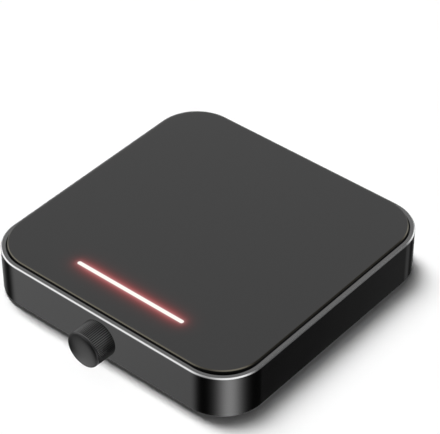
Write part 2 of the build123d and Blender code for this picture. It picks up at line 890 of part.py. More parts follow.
def make_board_screws():
    tip = board_bottom - board_screw_grip + board_pilot_spare
    return group(
        pan_screw(
            x, y, board_screw_shank, board_screw_head, board_screw_head_height,
            board_screw_head_bevel, board_top, tip,
        )
        for x, y in board_screw_places
    )


def block_on_board(x, y, width, depth, height, lift=0.0):
    return block(
        x - width / 2, x + width / 2, y - depth / 2, y + depth / 2,
        board_top + lift, board_top + lift + height,
    )


def make_controller_chip():
    x, y = chip_x, board_front_y + chip_inset
    chip = block_on_board(x, y, chip_side, chip_side, chip_height - chip_lift, chip_lift)
    chip = chamfer(edges_at_height(chip, board_top + chip_height), chip_bevel)
    reach = (chip_side + chip_lead_length) / 2 - chip_lead_width / 2
    for i in range(chip_leads_per_side):
        offset = (i - (chip_leads_per_side - 1) / 2) * chip_lead_pitch
        for side in (-1, 1):
            chip += block_on_board(
                x + side * reach, y + offset, chip_lead_length, chip_lead_width, chip_lead_width
            )
            chip += block_on_board(
                x + offset, y + side * reach, chip_lead_width, chip_lead_length, chip_lead_width
            )
    return chip


def make_heater_switch():
    x, y = switch_x, board_front_y + chip_inset
    body = block_on_board(x, y, switch_length, switch_width, switch_height)
    body = chamfer(edges_at_height(body, board_top + switch_height), switch_bevel)
    tab_y = y + (switch_width + switch_tab_length) / 2
    body += block_on_board(
        x, tab_y, switch_length - 2 * switch_lead_width, switch_tab_length, switch_tab_thickness
    )
    lead_y = y - (switch_width + switch_lead_length) / 2
    for side in (-1, 1):
        body += block_on_board(
            x + side * switch_lead_offset, lead_y,
            switch_lead_width, switch_lead_length, switch_tab_thickness,
        )
    return body


def make_capacitors():
    cans = []
    top = board_top + capacitor_height
    for side in (-1, 1):
        y = board_front_y + capacitor_inset + side * capacitor_pitch / 2
        can = upright(capacitor_radius, board_top, top, capacitor_x, y)
        can = chamfer(edges_at_height(can, top), capacitor_bevel)
        neck = Circle(capacitor_radius + 1.0) - Circle(capacitor_radius - capacitor_neck_depth)
        neck_low = board_top + capacitor_neck_low
        cans.append(can - Pos(capacitor_x, y, neck_low) * extrude(neck, capacitor_neck_height))
    return group(cans)


def make_inductor():
    x, y = inductor_x, board_front_y + inductor_inset
    body = block_on_board(x, y, inductor_side, inductor_side, inductor_height)
    body = chamfer(body.edges().filter_by(Axis.Z), inductor_corner)
    groove = Circle(inductor_groove_outer) - Circle(inductor_groove_inner)
    groove_low = board_top + inductor_height - inductor_groove_depth
    return body - Pos(x, y, groove_low) * extrude(groove, inductor_groove_depth)


def side_socket(x):
    half = socket_width / 2
    top = board_top + socket_height
    shell = block(x - half, x + half, socket_front_y, board_rear_y, board_top, top)
    mouth = socket_front_y + socket_rear_wall
    shell -= block(
        x - half + socket_wall, x + half - socket_wall, mouth, board_rear_y,
        board_top + socket_wall, top - socket_wall,
    )
    for side in (-1, 1):
        pin_x = x + side * socket_pitch / 2
        shell += along_y(pin_radius, mouth - pin_radius, board_rear_y - socket_rear_wall, pin_x, lead_z)
    return shell


def side_plug(x):
    half = socket_width / 2 - socket_wall - plug_clearance
    low = board_top + socket_wall + plug_clearance
    high = board_top + socket_height - socket_wall - plug_clearance
    start = socket_front_y + socket_rear_wall + plug_bevel
    plug = block(x - half, x + half, start, plug_rear_y, low, high)
    plug = chamfer(plug.edges().filter_by(Axis.Y), plug_bevel)
    for side in (-1, 1):
        pin_x = x + side * socket_pitch / 2
        bore = pin_radius + plug_pin_clearance
        plug -= along_y(bore, start, board_rear_y - socket_wall, pin_x, lead_z)
    return plug


fuse_socket_x = fuse_x
side_socket_places = [socket_x, -socket_x, fuse_socket_x]
heater_socket_top = board_top + heater_socket_height
heater_socket_half_x = terminal_pitch / 2 + heater_socket_end


def make_sockets():
    shells = [side_socket(x) for x in side_socket_places]
    y = heater_terminal_y
    shell = block(
        -heater_socket_half_x, heater_socket_half_x, y - heater_socket_half_y,
        y + heater_socket_half_y, board_top, heater_socket_top,
    )
    shell -= block(
        -heater_socket_half_x + socket_wall, heater_socket_half_x - socket_wall,
        y - heater_socket_half_y + socket_wall, y + heater_socket_half_y - socket_wall,
        board_top + heater_socket_floor, heater_socket_top,
    )
    for side in (-1, 1):
        x = side * terminal_pitch / 2
        shell += upright(pin_radius, board_top + pin_radius, heater_socket_top - socket_wall, x, y)
    return group(shells + [shell])


def make_plugs():
    plugs = [side_plug(x) for x in side_socket_places]
    y = heater_terminal_y
    half_x = heater_socket_half_x - socket_wall - plug_clearance
    half_y = heater_socket_half_y - socket_wall - plug_clearance
    low = board_top + heater_socket_floor + plug_clearance
    plug = block(-half_x, half_x, y - half_y, y + half_y, low, heater_socket_top + heater_plug_height)
    plug = chamfer(plug.edges().filter_by(Axis.Z), plug_bevel)
    for side in (-1, 1):
        x = side * terminal_pitch / 2
        plug -= upright(pin_radius + plug_pin_clearance, low, heater_socket_top, x, y)
    return group(plugs + [plug])


# ---------------------------------------------------------------- leads held inside the casing
def make_heater_leads():
    low = heater_socket_top + heater_plug_height
    return group(
        upright(power_lead_radius, low, track_bottom, side * terminal_pitch / 2, heater_terminal_y)
        for side in (-1, 1)
    )


def make_sensor_leads():
    leads = []
    for side in (-1, 1):
        y = heater_y + side * bead_leg_pitch / 2
        x = -socket_x - side * socket_pitch / 2
        points = [(0, y, retainer_bottom), (0, y, lead_z), (x, y, lead_z), (x, plug_rear_y, lead_z)]
        leads.append(tube(points, [1.6, 6.0 + side * 0.8], signal_lead_radius))
    return group(leads)


def make_fuse_leads():
    leads = []
    for side in (-1, 1):
        x = fuse_x + side * fuse_leg_span / 2
        pin_x = fuse_socket_x + side * socket_pitch / 2
        points = [
            (x, heater_y, retainer_bottom),
            (x, heater_y, lead_z),
            (x, heater_y - fuse_lead_run, lead_z),
            (pin_x, plug_rear_y + fuse_lead_straight, lead_z),
            (pin_x, plug_rear_y, lead_z),
        ]
        leads.append(tube(points, [2.0, 5.0, 5.0], power_lead_radius))
    return group(leads)


jack_inner_y = rear_face - jack_depth
jack_tail_y = jack_inner_y - jack_tail
jack_contact_x = inlet_x + jack_contact_offset


def make_power_leads():
    leads = []
    for step, start_x in enumerate((inlet_x, jack_contact_x)):
        y = jack_tail_y - power_lead_turn + (step - 0.5) * power_lead_pitch
        x = socket_x + (step - 0.5) * socket_pitch
        points = [
            (start_x, jack_tail_y, inlet_z),
            (start_x, y, inlet_z),
            (x, y, inlet_z),
            (x, plug_rear_y + power_lead_drop[0], inlet_z),
            (x, plug_rear_y + power_lead_drop[1], lead_z),
            (x, plug_rear_y, lead_z),
        ]
        leads.append(tube(points, [1.5, 7.0 + step * 1.5, 12.0, 12.0], power_lead_radius))
    return group(leads)


# ---------------------------------------------------------------- rotary encoder with its push switch
bush_front_y = front_face - bush_reach
flange_front_y = front_inner + frame_plate
flange_rear_y = flange_front_y + bush_flange
collar_front_y = flange_rear_y + collar_clearance
rotor_front_y = collar_front_y + collar_thickness + push_travel + collar_clearance
rotor_rear_y = rotor_front_y + rotor_thickness
dome_base_y = encoder_rear_y - encoder_rear_wall
dome_top_y = dome_base_y - dome_height
shaft_rear_y = dome_top_y - shaft_running_clearance
knob_rear_y = front_face - knob_gap
knob_front_y = front_face - knob_reach
core_rear_y = bush_front_y - push_travel - collar_clearance
core_front_y = knob_front_y + knob_dish_depth + knob_web
shaft_front_y = core_front_y + knob_shaft_relief


def make_encoder_frame():
    half = encoder_width / 2 + frame_side
    low = board_top
    high = knob_z + encoder_height / 2
    plate = block(-half, half, front_inner, flange_front_y, low, high)
    plate -= along_y(bush_radius + bush_fit, front_inner, flange_front_y, 0, knob_z)
    arm_low = low + frame_side_inset
    arm_end_y = encoder_rear_y - frame_side_stop
    tab_half = frame_tab_width / 2
    tab_tip = board_bottom - frame_tab_tail
    for side in (-1, 1):
        x_low, x_high = sorted((side * encoder_width / 2, side * half))
        plate += block(x_low, x_high, flange_front_y, arm_end_y, arm_low, high - frame_side_inset)
        plate += block(
            x_low, x_high, frame_tab_y - tab_half, frame_tab_y + tab_half, tab_tip, arm_low
        )
    return plate


def make_encoder_body():
    half = encoder_width / 2
    body = block(
        -half, half, flange_front_y, encoder_rear_y, board_top, knob_z + encoder_height / 2
    )
    body = chamfer(body.edges().filter_by(Axis.Y), encoder_bevel)
    body -= along_y(encoder_bore, flange_front_y, dome_base_y, 0, knob_z)
    return body


def make_encoder_bush():
    bush = along_y(bush_radius, bush_front_y, flange_front_y, 0, knob_z)
    bush = chamfer(bush.edges().group_by(Axis.Y)[0], bush_bevel)
    bush += along_y(bush_flange_radius, flange_front_y, flange_rear_y, 0, knob_z)
    bore = shaft_radius + shaft_running_clearance
    return bush - along_y(bore, bush_front_y, flange_rear_y, 0, knob_z)


def make_washer():
    front = front_face - washer_thickness
    ring = along_y(washer_radius, front, front_face, 0, knob_z)
    return ring - along_y(bush_radius + bush_fit, front, front_face, 0, knob_z)


def make_nut():
    rear = front_face - washer_thickness
    front = rear - nut_thickness
    nut = hexagon_y(nut_across_flats, front, rear, 0, knob_z)
    nut &= along_y(nut_across_flats / 2 + nut_corner, front, rear, 0, knob_z)
    return nut - along_y(bush_radius + bush_fit, front, rear, 0, knob_z)


def d_rod(radius, flat, start, end):
    rod = along_y(radius, start, end, 0, knob_z)
    return rod - block(radius - flat, radius, start, end, knob_z - radius, knob_z + radius)


def make_rotor():
    rotor = along_y(rotor_radius, rotor_front_y, rotor_rear_y, 0, knob_z)
    rotor -= d_rod(rotor_shaft_radius + rotor_fit, rotor_flat, rotor_front_y, rotor_rear_y)
    side = detent_depth * sqrt(2)
    notch = Box(rotor_radius, side, side, align=(Align.MIN, Align.CENTER, Align.CENTER))
    notch = Pos(detent_ring_inner - detent_nub_gap, rotor_front_y, 0) * Rot(45, 0, 0) * notch
    notches = []
    for i in range(detent_count):
        notches.append(Pos(0, 0, knob_z) * Rot(0, i * 360 / detent_count, 0) * notch)
    return rotor - notches


def make_detent_spring():
    rear = flange_rear_y + detent_ring_thickness
    ring = along_y(rotor_radius, flange_rear_y, rear, 0, knob_z)
    ring -= along_y(detent_ring_inner, flange_rear_y, rear, 0, knob_z)
    nub_x = (rotor_radius + detent_ring_inner) / 2
    for side in (-1, 1):
        tip = rotor_front_y - detent_nub_gap
        ring += along_y(detent_nub_radius, flange_rear_y, tip, side * nub_x, knob_z)
    return ring


def make_shaft():
    shaft = along_y(shaft_radius, core_rear_y, collar_front_y, 0, knob_z)
    shaft += d_rod(shaft_radius, shaft_flat, shaft_front_y, core_rear_y)
    shaft += along_y(collar_radius, collar_front_y, collar_front_y + collar_thickness, 0, knob_z)
    shaft += d_rod(
        rotor_shaft_radius, rotor_flat, collar_front_y + collar_thickness, shaft_rear_y
    )
    return chamfer(shaft.edges().group_by(Axis.Y)[0], shaft_bevel)


def make_dome():
    sphere = (dome_radius**2 + dome_height**2) / (2 * dome_height)
    centre = Pos(0, dome_top_y + sphere, knob_z)
    cap = centre * Sphere(sphere) - centre * Sphere(sphere - dome_thickness)
    return cap & along_y(dome_radius, dome_top_y, dome_base_y, 0, knob_z)


def make_terminals():
    return group(
        upright(pin_radius, board_bottom - pin_tail, board_top, x, y) for x, y in terminal_places
    )


# ---------------------------------------------------------------- knob
def knob_outline():
    rim = knob_front_y
    slope = (knob_rear_radius - knob_face_radius) / (knob_rear_y - knob_front_y)
    shoulder = knob_face_radius + slope * knob_edge
    outline = Polyline(
        (0, knob_rear_y),
        (knob_rear_radius - knob_rear_bevel, knob_rear_y),
        (knob_rear_radius, knob_rear_y - knob_rear_bevel),
        (shoulder, rim + knob_edge),
        (shoulder - knob_edge, rim),
        (0, rim),
        close=True,
    )
    return make_face(outline)


def knob_dish():
    dish_radius = knob_face_radius - knob_dish_rim
    sphere = (dish_radius**2 + knob_dish_depth**2) / (2 * knob_dish_depth)
    return Pos(0, knob_front_y + knob_dish_depth - sphere, knob_z) * Sphere(sphere)


def knurl_cutters():
    start = knob_rear_y - knob_smooth_band
    end = knob_front_y + knob_edge + knob_smooth_band / 2
    taper = degrees(atan2(knob_rear_radius - knob_face_radius, knob_rear_y - knob_front_y))
    pitch = 2 * pi * knob_rear_radius / knurl_count
    half = 0.42 * pitch
    groove = Polyline((half, 0), (-half, 0), (0, -knurl_depth), close=True)
    cutter = extrude(make_face(groove), start - end)
    mid_radius = knob_rear_radius - (knob_rear_y - start) * (knob_rear_radius - knob_face_radius) / (
        knob_rear_y - knob_front_y
    )
    placed = Pos(0, start, mid_radius + 0.01) * Rot(taper, 0, 0) * Rot(90, 0, 0) * cutter
    return [
        Pos(0, 0, knob_z) * Rot(0, i * 360 / knurl_count, 0) * placed for i in range(knurl_count)
    ]


def make_knob_shell():
    solid = revolve(knob_outline(), axis=Axis.Y)
    shell = Pos(0, 0, knob_z) * solid - knob_dish()
    shell -= along_y(knob_recess_radius, core_rear_y, knob_rear_y, 0, knob_z)
    shell -= along_y(knob_core_radius, core_front_y, core_rear_y, 0, knob_z)
    return shell - knurl_cutters()


def make_knob_core():
    core = along_y(knob_core_radius - knob_press_clearance, core_front_y, core_rear_y, 0, knob_z)
    bore = shaft_radius + knob_press_clearance
    return core - d_rod(bore, shaft_flat, shaft_front_y, core_rear_y)


# ---------------------------------------------------------------- power inlet
insulator_front_y = jack_inner_y + jack_insulator
jack_front_y = rear_face + jack_flange
jack_pin_end_y = jack_front_y - jack_pin_recess


def make_jack_shell():
    shell = along_y(jack_radius, jack_inner_y, rear_face, inlet_x, inlet_z)
    flange = along_y(jack_flange_radius, rear_face, jack_front_y, inlet_x, inlet_z)
    flange = chamfer(flange.edges().group_by(Axis.Y)[-1], jack_flange_bevel)
    shell += flange
    shell -= along_y(jack_bore, jack_inner_y, jack_front_y, inlet_x, inlet_z)
    return shell


def make_jack_nut():
    start = rear_inner - jack_nut_thickness
    nut = hexagon_y(jack_nut_flats, start, rear_inner, inlet_x, inlet_z)
    nut &= along_y(jack_nut_flats / 2 + nut_corner, start, rear_inner, inlet_x, inlet_z)
    return nut - along_y(jack_radius + jack_nut_fit, start, rear_inner, inlet_x, inlet_z)


def make_jack_insulator():
    plug = along_y(jack_bore - jack_fit, jack_inner_y, insulator_front_y, inlet_x, inlet_z)
    bore = jack_pin_shoulder + jack_fit
    return plug - along_y(bore, jack_inner_y, insulator_front_y, inlet_x, inlet_z)


def make_jack_pin():
    pin = along_y(jack_pin_radius, insulator_front_y, jack_pin_end_y, inlet_x, inlet_z)
    pin = fillet(pin.edges().group_by(Axis.Y)[-1], jack_pin_tip)
    pin += along_y(jack_pin_shoulder, jack_inner_y, insulator_front_y, inlet_x, inlet_z)
    return pin + along_y(jack_tail_radius, jack_tail_y, jack_inner_y, inlet_x, inlet_z)


def make_jack_contact():
    half_x = jack_contact_thickness / 2
    half_z = jack_contact_width / 2
    return block(
        jack_contact_x - half_x, jack_contact_x + half_x, jack_tail_y, jack_inner_y,
        inlet_z - half_z, inlet_z + half_z,
    )


# ---------------------------------------------------------------- all nodes
nodes["housing"] = make_housing()
nodes["glass_top"] = make_glass()
nodes["glass_gasket"] = make_gasket()
nodes["bottom_cover"] = make_cover()
foot_names = {(-1, -1): "foot_front_left", (1, -1): "foot_front_right",
              (-1, 1): "foot_rear_left", (1, 1): "foot_rear_right"}
for (side_x, side_y), name in foot_names.items():
    nodes[name] = make_foot(side_x * foot_x, side_y * foot_y)
nodes["cover_screws"] = make_cover_screws()

nodes["heat_spreader"] = heater_disc(spreader_radius, spreader_bottom, glass_bottom)
nodes["heater_element"] = make_heater_element()
nodes["heater_film"] = make_heater_film()
nodes["insulation_pad"] = make_pad()
nodes["heater_retainer"] = make_retainer()
nodes["retainer_screws"] = make_retainer_screws()
nodes["thermistor"] = make_thermistor()
nodes["thermal_fuse"] = make_thermal_fuse()

nodes["light_diffuser"] = make_diffuser()
nodes["light_box"] = make_light_box()
nodes["led_board"] = make_led_board()
nodes["leds"] = make_leds()
nodes["led_header"] = make_led_header()

nodes["control_board"] = make_board()
nodes["board_screws"] = make_board_screws()
nodes["controller_chip"] = make_controller_chip()
nodes["heater_switch"] = make_heater_switch()
nodes["capacitors"] = make_capacitors()
nodes["inductor"] = make_inductor()
nodes["board_sockets"] = make_sockets()
nodes["lead_plugs"] = make_plugs()
nodes["heater_leads"] = make_heater_leads()
nodes["sensor_leads"] = make_sensor_leads()
nodes["fuse_leads"] = make_fuse_leads()
nodes["power_leads"] = make_power_leads()

nodes["encoder_frame"] = make_encoder_frame()
nodes["encoder_body"] = make_encoder_body()
nodes["encoder_bush"] = make_encoder_bush()
nodes["encoder_washer"] = make_washer()
nodes["encoder_nut"] = make_nut()
nodes["encoder_rotor"] = make_rotor()
nodes["detent_spring"] = make_detent_spring()
nodes["encoder_shaft"] = make_shaft()
nodes["switch_dome"] = make_dome()
nodes["encoder_terminals"] = make_terminals()
nodes["knob_shell"] = make_knob_shell()
nodes["knob_core"] = make_knob_core()

nodes["jack_shell"] = make_jack_shell()
nodes["jack_nut"] = make_jack_nut()
nodes["jack_insulator"] = make_jack_insulator()
nodes["jack_pin"] = make_jack_pin()
nodes["jack_contact"] = make_jack_contact()

os.makedirs("parts", exist_ok=True)
for name, part in nodes.items():
    export_step(part, f"parts/{name}.step")
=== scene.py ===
from math import atan2, cos, pi, radians, sin, sqrt, tan

import bmesh
import bpy
from mathutils import Matrix, Vector


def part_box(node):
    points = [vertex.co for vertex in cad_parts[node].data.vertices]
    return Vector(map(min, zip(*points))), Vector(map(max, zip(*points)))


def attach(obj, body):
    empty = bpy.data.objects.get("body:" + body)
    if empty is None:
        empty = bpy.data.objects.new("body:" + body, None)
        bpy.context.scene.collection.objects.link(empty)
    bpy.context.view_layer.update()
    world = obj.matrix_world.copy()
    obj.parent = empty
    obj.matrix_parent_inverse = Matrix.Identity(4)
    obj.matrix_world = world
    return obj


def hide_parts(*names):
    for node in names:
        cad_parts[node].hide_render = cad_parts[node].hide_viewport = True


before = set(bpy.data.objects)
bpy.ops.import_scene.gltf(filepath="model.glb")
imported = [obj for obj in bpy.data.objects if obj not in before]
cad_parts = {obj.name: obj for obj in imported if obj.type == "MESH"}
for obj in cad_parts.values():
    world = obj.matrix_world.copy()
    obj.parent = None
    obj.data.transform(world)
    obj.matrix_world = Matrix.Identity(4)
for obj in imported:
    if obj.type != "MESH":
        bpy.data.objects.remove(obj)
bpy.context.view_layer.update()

MM = 0.001

# ---------------------------------------------------------------- sizes, in metres
casing_low, casing_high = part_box("housing")
glass_low, glass_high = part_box("glass_top")
knob_low, knob_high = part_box("knob_shell")
foot_low, foot_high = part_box("foot_front_left")
screws_low, screws_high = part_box("cover_screws")
inlet_low, inlet_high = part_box("jack_shell")
diffuser_low, diffuser_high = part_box("light_diffuser")

CORNER_RADIUS = 19.3 * MM        # casing, seen from above
WALL = 2.0 * MM
RIM_CHAMFER = 0.5 * MM
LOWER_ROUNDING = 0.4 * MM
SHELF_WIDTH = 5.5 * MM           # shelf under the glass
SHELF_THICKNESS = 1.3 * MM
GASKET_THICKNESS = 0.5 * MM
EDGE_ROUNDING = 0.06 * MM        # broken edges of the machined rim
GUSSET_THICKNESS = 1.6 * MM      # webs under the shelf
GUSSET_HEIGHT = 4.6 * MM
GUSSET_OFFSET = 34.0 * MM        # from the middle of each side
BOSS_RADIUS = 3.5 * MM
BOSS_HEIGHT = 12.5 * MM          # from the shelf's top down
PILOT_RADIUS = 1.25 * MM
PILOT_DEPTH = 8.0 * MM
BUSH_HOLE_RADIUS = 3.6 * MM
INLET_HOLE_RADIUS = 4.1 * MM
WELD = 0.2 * MM                  # how far joined shapes reach into each other
MERGE = 0.0005 * MM              # points nearer to each other than this are one
CORNER_STEPS = 40                # facets of each corner of the casing and the glass
HOLE_STEPS = 96
BOSS_STEPS = 48
STEEPEST_BEVEL = 0.2             # the upward part of a bevel's normal lies between these
FLATTEST_BEVEL = 0.98

GLASS_CORNER_RADIUS = 18.6 * MM
GLASS_CHAMFER = 0.4 * MM
GLASS_ROUNDING = 0.08 * MM
GLASS_BAND = 1.6 * MM            # swept round the edge; the faces inside it are closed afterwards
GLASS_FLAT_DEPTH = 0.01 * MM     # faces nearer to the glass's top than this are part of its flat face
GLASS_LIT_DEPTH = 0.02 * MM      # the indicator's light shows only this near to the top

LIGHT_LENGTH = 55.5 * MM
LIGHT_WIDTH = 2.2 * MM
LIGHT_CORE = (0.12, -0.35)       # millimetres past the bar's edge where the white core starts and is full
GLOW_LEVEL = 0.43                # at the bar's edge
GLOW_REACH = 1.6                 # millimetres over which the glow falls to 37%
GLOW_ENDS = (31.0, 20.0)         # millimetres from the bar's middle where the glow is weakest and full
GLOW_AT_ENDS = 0.4

KNOB_DISH_DEPTH = 0.75 * MM
KNOB_DISH_RIM = 0.5 * MM
KNOB_DISH_POWER = 2.3            # 2 is a plain bowl, more is flatter in the middle and steeper at the rim
KNOB_DISH_BLEND = 1.5 * MM       # the lip turns into the dish over this radius
KNOB_TAPER = 0.3 * MM            # the face is this much smaller in radius than the rear rim
KNOB_RECESS_RADIUS = 6.6 * MM
KNOB_RECESS_DEPTH = 4.3 * MM
KNOB_CORE_RADIUS = 6.0 * MM
KNOB_SMOOTH_BAND = 0.2 * MM      # in front of the knurl, behind the rounded edge
KNOB_EDGE = 0.28 * MM
KNOB_REAR_ROUNDING = 0.1 * MM
KNURL_COUNT = 60
KNURL_DEPTH = 0.32 * MM
KNURL_STEPS = 8                  # facets of one groove and its ridge
KNURL_SHAPE = 1.4                # 1 is a straight V, more rounds the crests
KNURL_FADE = 0.25 * MM           # grooves run out over this length
KNOB_BAND_STEPS = 48             # facets along the knurled side
KNOB_DISH_STEPS = 20             # facets from the lip to the middle
KNOB_DISH_LIMIT = 7.4 * MM       # nothing inside this radius is knurled, and the painted shade of the darker lip starts here
KNOB_WEB = 0.75 * MM             # metal between the dish and the recess

FOOT_EDGE = 0.4 * MM
FOOT_CUP_RADIUS = 3.6 * MM
FOOT_CUP_DEPTH = 0.5 * MM
FOOT_STEPS = 72

SCREW_HEAD_RADIUS = 2.75 * MM
SCREW_HEAD_HEIGHT = 1.8 * MM
SCREW_HEAD_BEVEL = 0.55 * MM
SCREW_SHANK_RADIUS = 1.2 * MM
SCREW_TIP = 1.0 * MM
CROSS_LENGTH = 3.0 * MM
CROSS_WIDTH = 0.62 * MM
CROSS_DEPTH = 1.1 * MM
SCREW_TURN = 0.7                 # radians from one screw's cross recess to the next
SCREW_STEPS = 48

INLET_COLLAR = 1.2 * MM          # stands this far proud of the wall
INLET_BARREL_RADIUS = 4.0 * MM
INLET_BORE = 2.85 * MM
INLET_BEVEL = 0.35 * MM
INLET_STEPS = 96

rim_top = casing_high.z
wall_foot = casing_low.z
glass_base = glass_low.z
shelf_top = glass_base - GASKET_THICKNESS
shelf_foot = shelf_top - SHELF_THICKNESS
knob_centre_z = (knob_low.z + knob_high.z) / 2
inlet_centre_z = (inlet_low.z + inlet_high.z) / 2
light_centre = ((diffuser_low.x + diffuser_high.x) / 2, (diffuser_low.y + diffuser_high.y) / 2)
foot_centre = ((foot_low.x + foot_high.x) / 2, (foot_low.y + foot_high.y) / 2)
screw_place = (screws_high.x - SCREW_HEAD_RADIUS, screws_high.y - SCREW_HEAD_RADIUS)


# ---------------------------------------------------------------- node trees in Python
class Wire:
    """An output socket that arithmetic works on: each operation adds a Math node."""

    def __init__(self, shop, socket):
        self.shop = shop
        self.socket = socket

    def math(self, operation, *others):
        return self.shop.maths(operation, self, *others)

    def __add__(self, other):
        return self.math("ADD", other)

    __radd__ = __add__

    def __sub__(self, other):
        return self.math("SUBTRACT", other)

    def __rsub__(self, other):
        return self.shop.maths("SUBTRACT", other, self)

    def __mul__(self, other):
        return self.math("MULTIPLY", other)

    __rmul__ = __mul__

    def __truediv__(self, other):
        return self.math("DIVIDE", other)

    def __pow__(self, other):
        return self.math("POWER", other)

    def __abs__(self):
        return self.math("ABSOLUTE")

    def __gt__(self, other):
        return self.math("GREATER_THAN", other)

    def exp(self):
        return self.math("EXPONENT")

    def most(self, other):
        return self.math("MAXIMUM", other)

    def least(self, other):
        return self.math("MINIMUM", other)

    def out(self, name):
        """Another output of the same node."""
        return Wire(self.shop, self.socket.node.outputs[name])


class Shop:
    """Adds nodes to one tree."""

    colour_a, colour_b, colour_result = 6, 7, 2     # numbers of the Mix node's colour sockets

    def __init__(self, tree):
        self.tree = tree
        tree.nodes.clear()

    def node(self, kind, settings=None, values=(), output=0):
        """A node with its settings, then a value or a link for each named or numbered socket."""
        node = self.tree.nodes.new(kind)
        for name, value in (settings or {}).items():
            setattr(node, name, value)
        pairs = values.items() if isinstance(values, dict) else enumerate(values)
        for key, value in pairs:
            self.feed(node.inputs[key], value)
        if not node.outputs:
            return node
        return Wire(self, node.outputs[output])

    def maths(self, operation, *values):
        """A Math node on values and links in any mixture."""
        return self.node("ShaderNodeMath", {"operation": operation}, values)

    def feed(self, socket, value):
        """Links a wire to the socket, or sets the socket's own value."""
        if isinstance(value, Wire):
            self.tree.links.new(value.socket, socket)
        else:
            socket.default_value = value

    def smooth(self, value, start, end, low=0.0, high=1.0):
        """Goes smoothly from low to high as value goes from start to end."""
        sockets = {"Value": value, "From Min": start, "From Max": end, "To Min": low, "To Max": high}
        return self.node("ShaderNodeMapRange", {"interpolation_type": "SMOOTHSTEP"}, sockets)

    def blend(self, factor, first, second):
        """A colour that goes from first to second."""
        mix = {"Factor": factor, self.colour_a: first, self.colour_b: second}
        return self.node("ShaderNodeMix", {"data_type": "RGBA"}, mix, output=self.colour_result)

    def scale_colour(self, colour, factor):
        """A colour times a number that varies."""
        scaled = {"Vector": colour, "Scale": factor}
        return self.node("ShaderNodeVectorMath", {"operation": "SCALE"}, scaled)


# ---------------------------------------------------------------- materials
class Finish(Shop):
    """A material under way: its Principled shader, its coordinates and the usual patterns."""

    def __init__(self, name):
        self.material = bpy.data.materials.new(name)
        self.material.use_nodes = True
        super().__init__(self.material.node_tree)
        skin = self.node("ShaderNodeBsdfPrincipled")
        self.bsdf = skin.socket.node
        self.node("ShaderNodeOutputMaterial", {}, {"Surface": skin})
        self.place = self.node("ShaderNodeTexCoord").out("Object")

    def set(self, **sockets):
        """Feeds sockets of the shader, whose names have _ for each space."""
        for name, value in sockets.items():
            self.feed(self.bsdf.inputs[name.replace("_", " ")], value)

    def noise(self, size, detail=2.0, stretch=(1.0, 1.0, 1.0)):
        """Noise whose lumps are about size across, from 0 to 1."""
        place = self.node("ShaderNodeMapping", {}, {"Vector": self.place, "Scale": stretch})
        return self.node("ShaderNodeTexNoise", {}, {"Vector": place, "Scale": 1 / size, "Detail": detail})

    def bump(self, height, depth):
        """Relief that follows a pattern from 0 to 1, so many metres deep."""
        self.set(Normal=self.node("ShaderNodeBump", {}, {"Height": height, "Distance": depth}))

    def axis(self, name):
        """X, Y or Z of the point that is shaded."""
        return self.node("ShaderNodeSeparateXYZ", {}, [self.place]).out(name)


def grey(value):
    return (value, value, value, 1.0)


ANODISED_GRAIN = 0.12 * MM       # size and depth of the grain that the casing and the knob share
ANODISED_DEPTH = 0.0004 * MM


def dark_satin_metal():
    """Black anodised aluminium with a fine satin grain."""
    finish = Finish("dark_satin_metal")
    finish.set(Metallic=1.0)
    cloud = finish.noise(18 * MM)
    grain = finish.noise(ANODISED_GRAIN, detail=1.0)
    finish.set(Base_Color=finish.blend(cloud, (0.124, 0.124, 0.125, 1), (0.134, 0.134, 0.134, 1)))
    finish.set(Roughness=0.15 + 0.03 * cloud + 0.03 * grain)
    finish.bump(grain, ANODISED_DEPTH)
    return finish.material


def knurled_metal():
    """The same black finish on the knob, with painted shade: the lip darker than the dish and the crests,
    and the grooves darker still.
    """
    finish = Finish("knurled_metal")
    finish.set(Metallic=1.0)
    x = finish.axis("X")
    z = finish.axis("Z") - knob_centre_z
    from_axis = (x * x + z * z) ** 0.5
    face_radius = (knob_high.x - knob_low.x) / 2 - KNOB_TAPER
    along = (finish.axis("Y") - knob_low.y) / (knob_high.y - knob_low.y)
    depth = face_radius + KNOB_TAPER * along - from_axis
    outside = from_axis > KNOB_DISH_LIMIT
    side = outside * (finish.axis("Y") > knob_low.y + KNOB_EDGE)
    # painted shade: the knurl's grooves are darkened in the colour as well as by their depth
    groove = finish.smooth(depth, 0.25 * KNURL_DEPTH, 0.8 * KNURL_DEPTH) * side
    cloud = finish.noise(6 * MM)
    grain = finish.noise(ANODISED_GRAIN, detail=1.0)
    dish = finish.blend(cloud, grey(0.100), grey(0.108))
    crest = finish.blend(cloud, grey(0.118), grey(0.128))
    # painted shade: the lip between the dish and the knurl gets a darker grey, and the grooves go near
    # black
    skin = finish.blend(side, finish.blend(outside, dish, grey(0.065)), crest)
    finish.set(Base_Color=finish.blend(groove, skin, grey(0.004)))
    finish.set(Roughness=0.15 + 0.03 * cloud + 0.04 * grain + 0.13 * side + 0.1 * groove)
    finish.bump(grain, ANODISED_DEPTH)
    return finish.material


def bright_chamfer():
    """The diamond-cut edge: bare aluminium, nearly polished."""
    finish = Finish("bright_chamfer")
    finish.set(Metallic=1.0)
    line = finish.noise(0.08 * MM, detail=1.0, stretch=(0.05, 0.05, 1.0))
    finish.set(Base_Color=finish.blend(line, (0.86, 0.86, 0.87, 1), (0.93, 0.93, 0.93, 1)))
    finish.set(Roughness=0.14 + 0.06 * line)
    return finish.material


def stadium_distance(finish, centre, length, width):
    """Distance from the middle line of a bar that lies along X, in millimetres."""
    half = (length - width) / 2
    x = finish.axis("X") - centre[0]
    y = finish.axis("Y") - centre[1]
    past_end = (abs(x) - half).most(0.0)
    return (past_end * past_end + y * y) ** 0.5 / MM


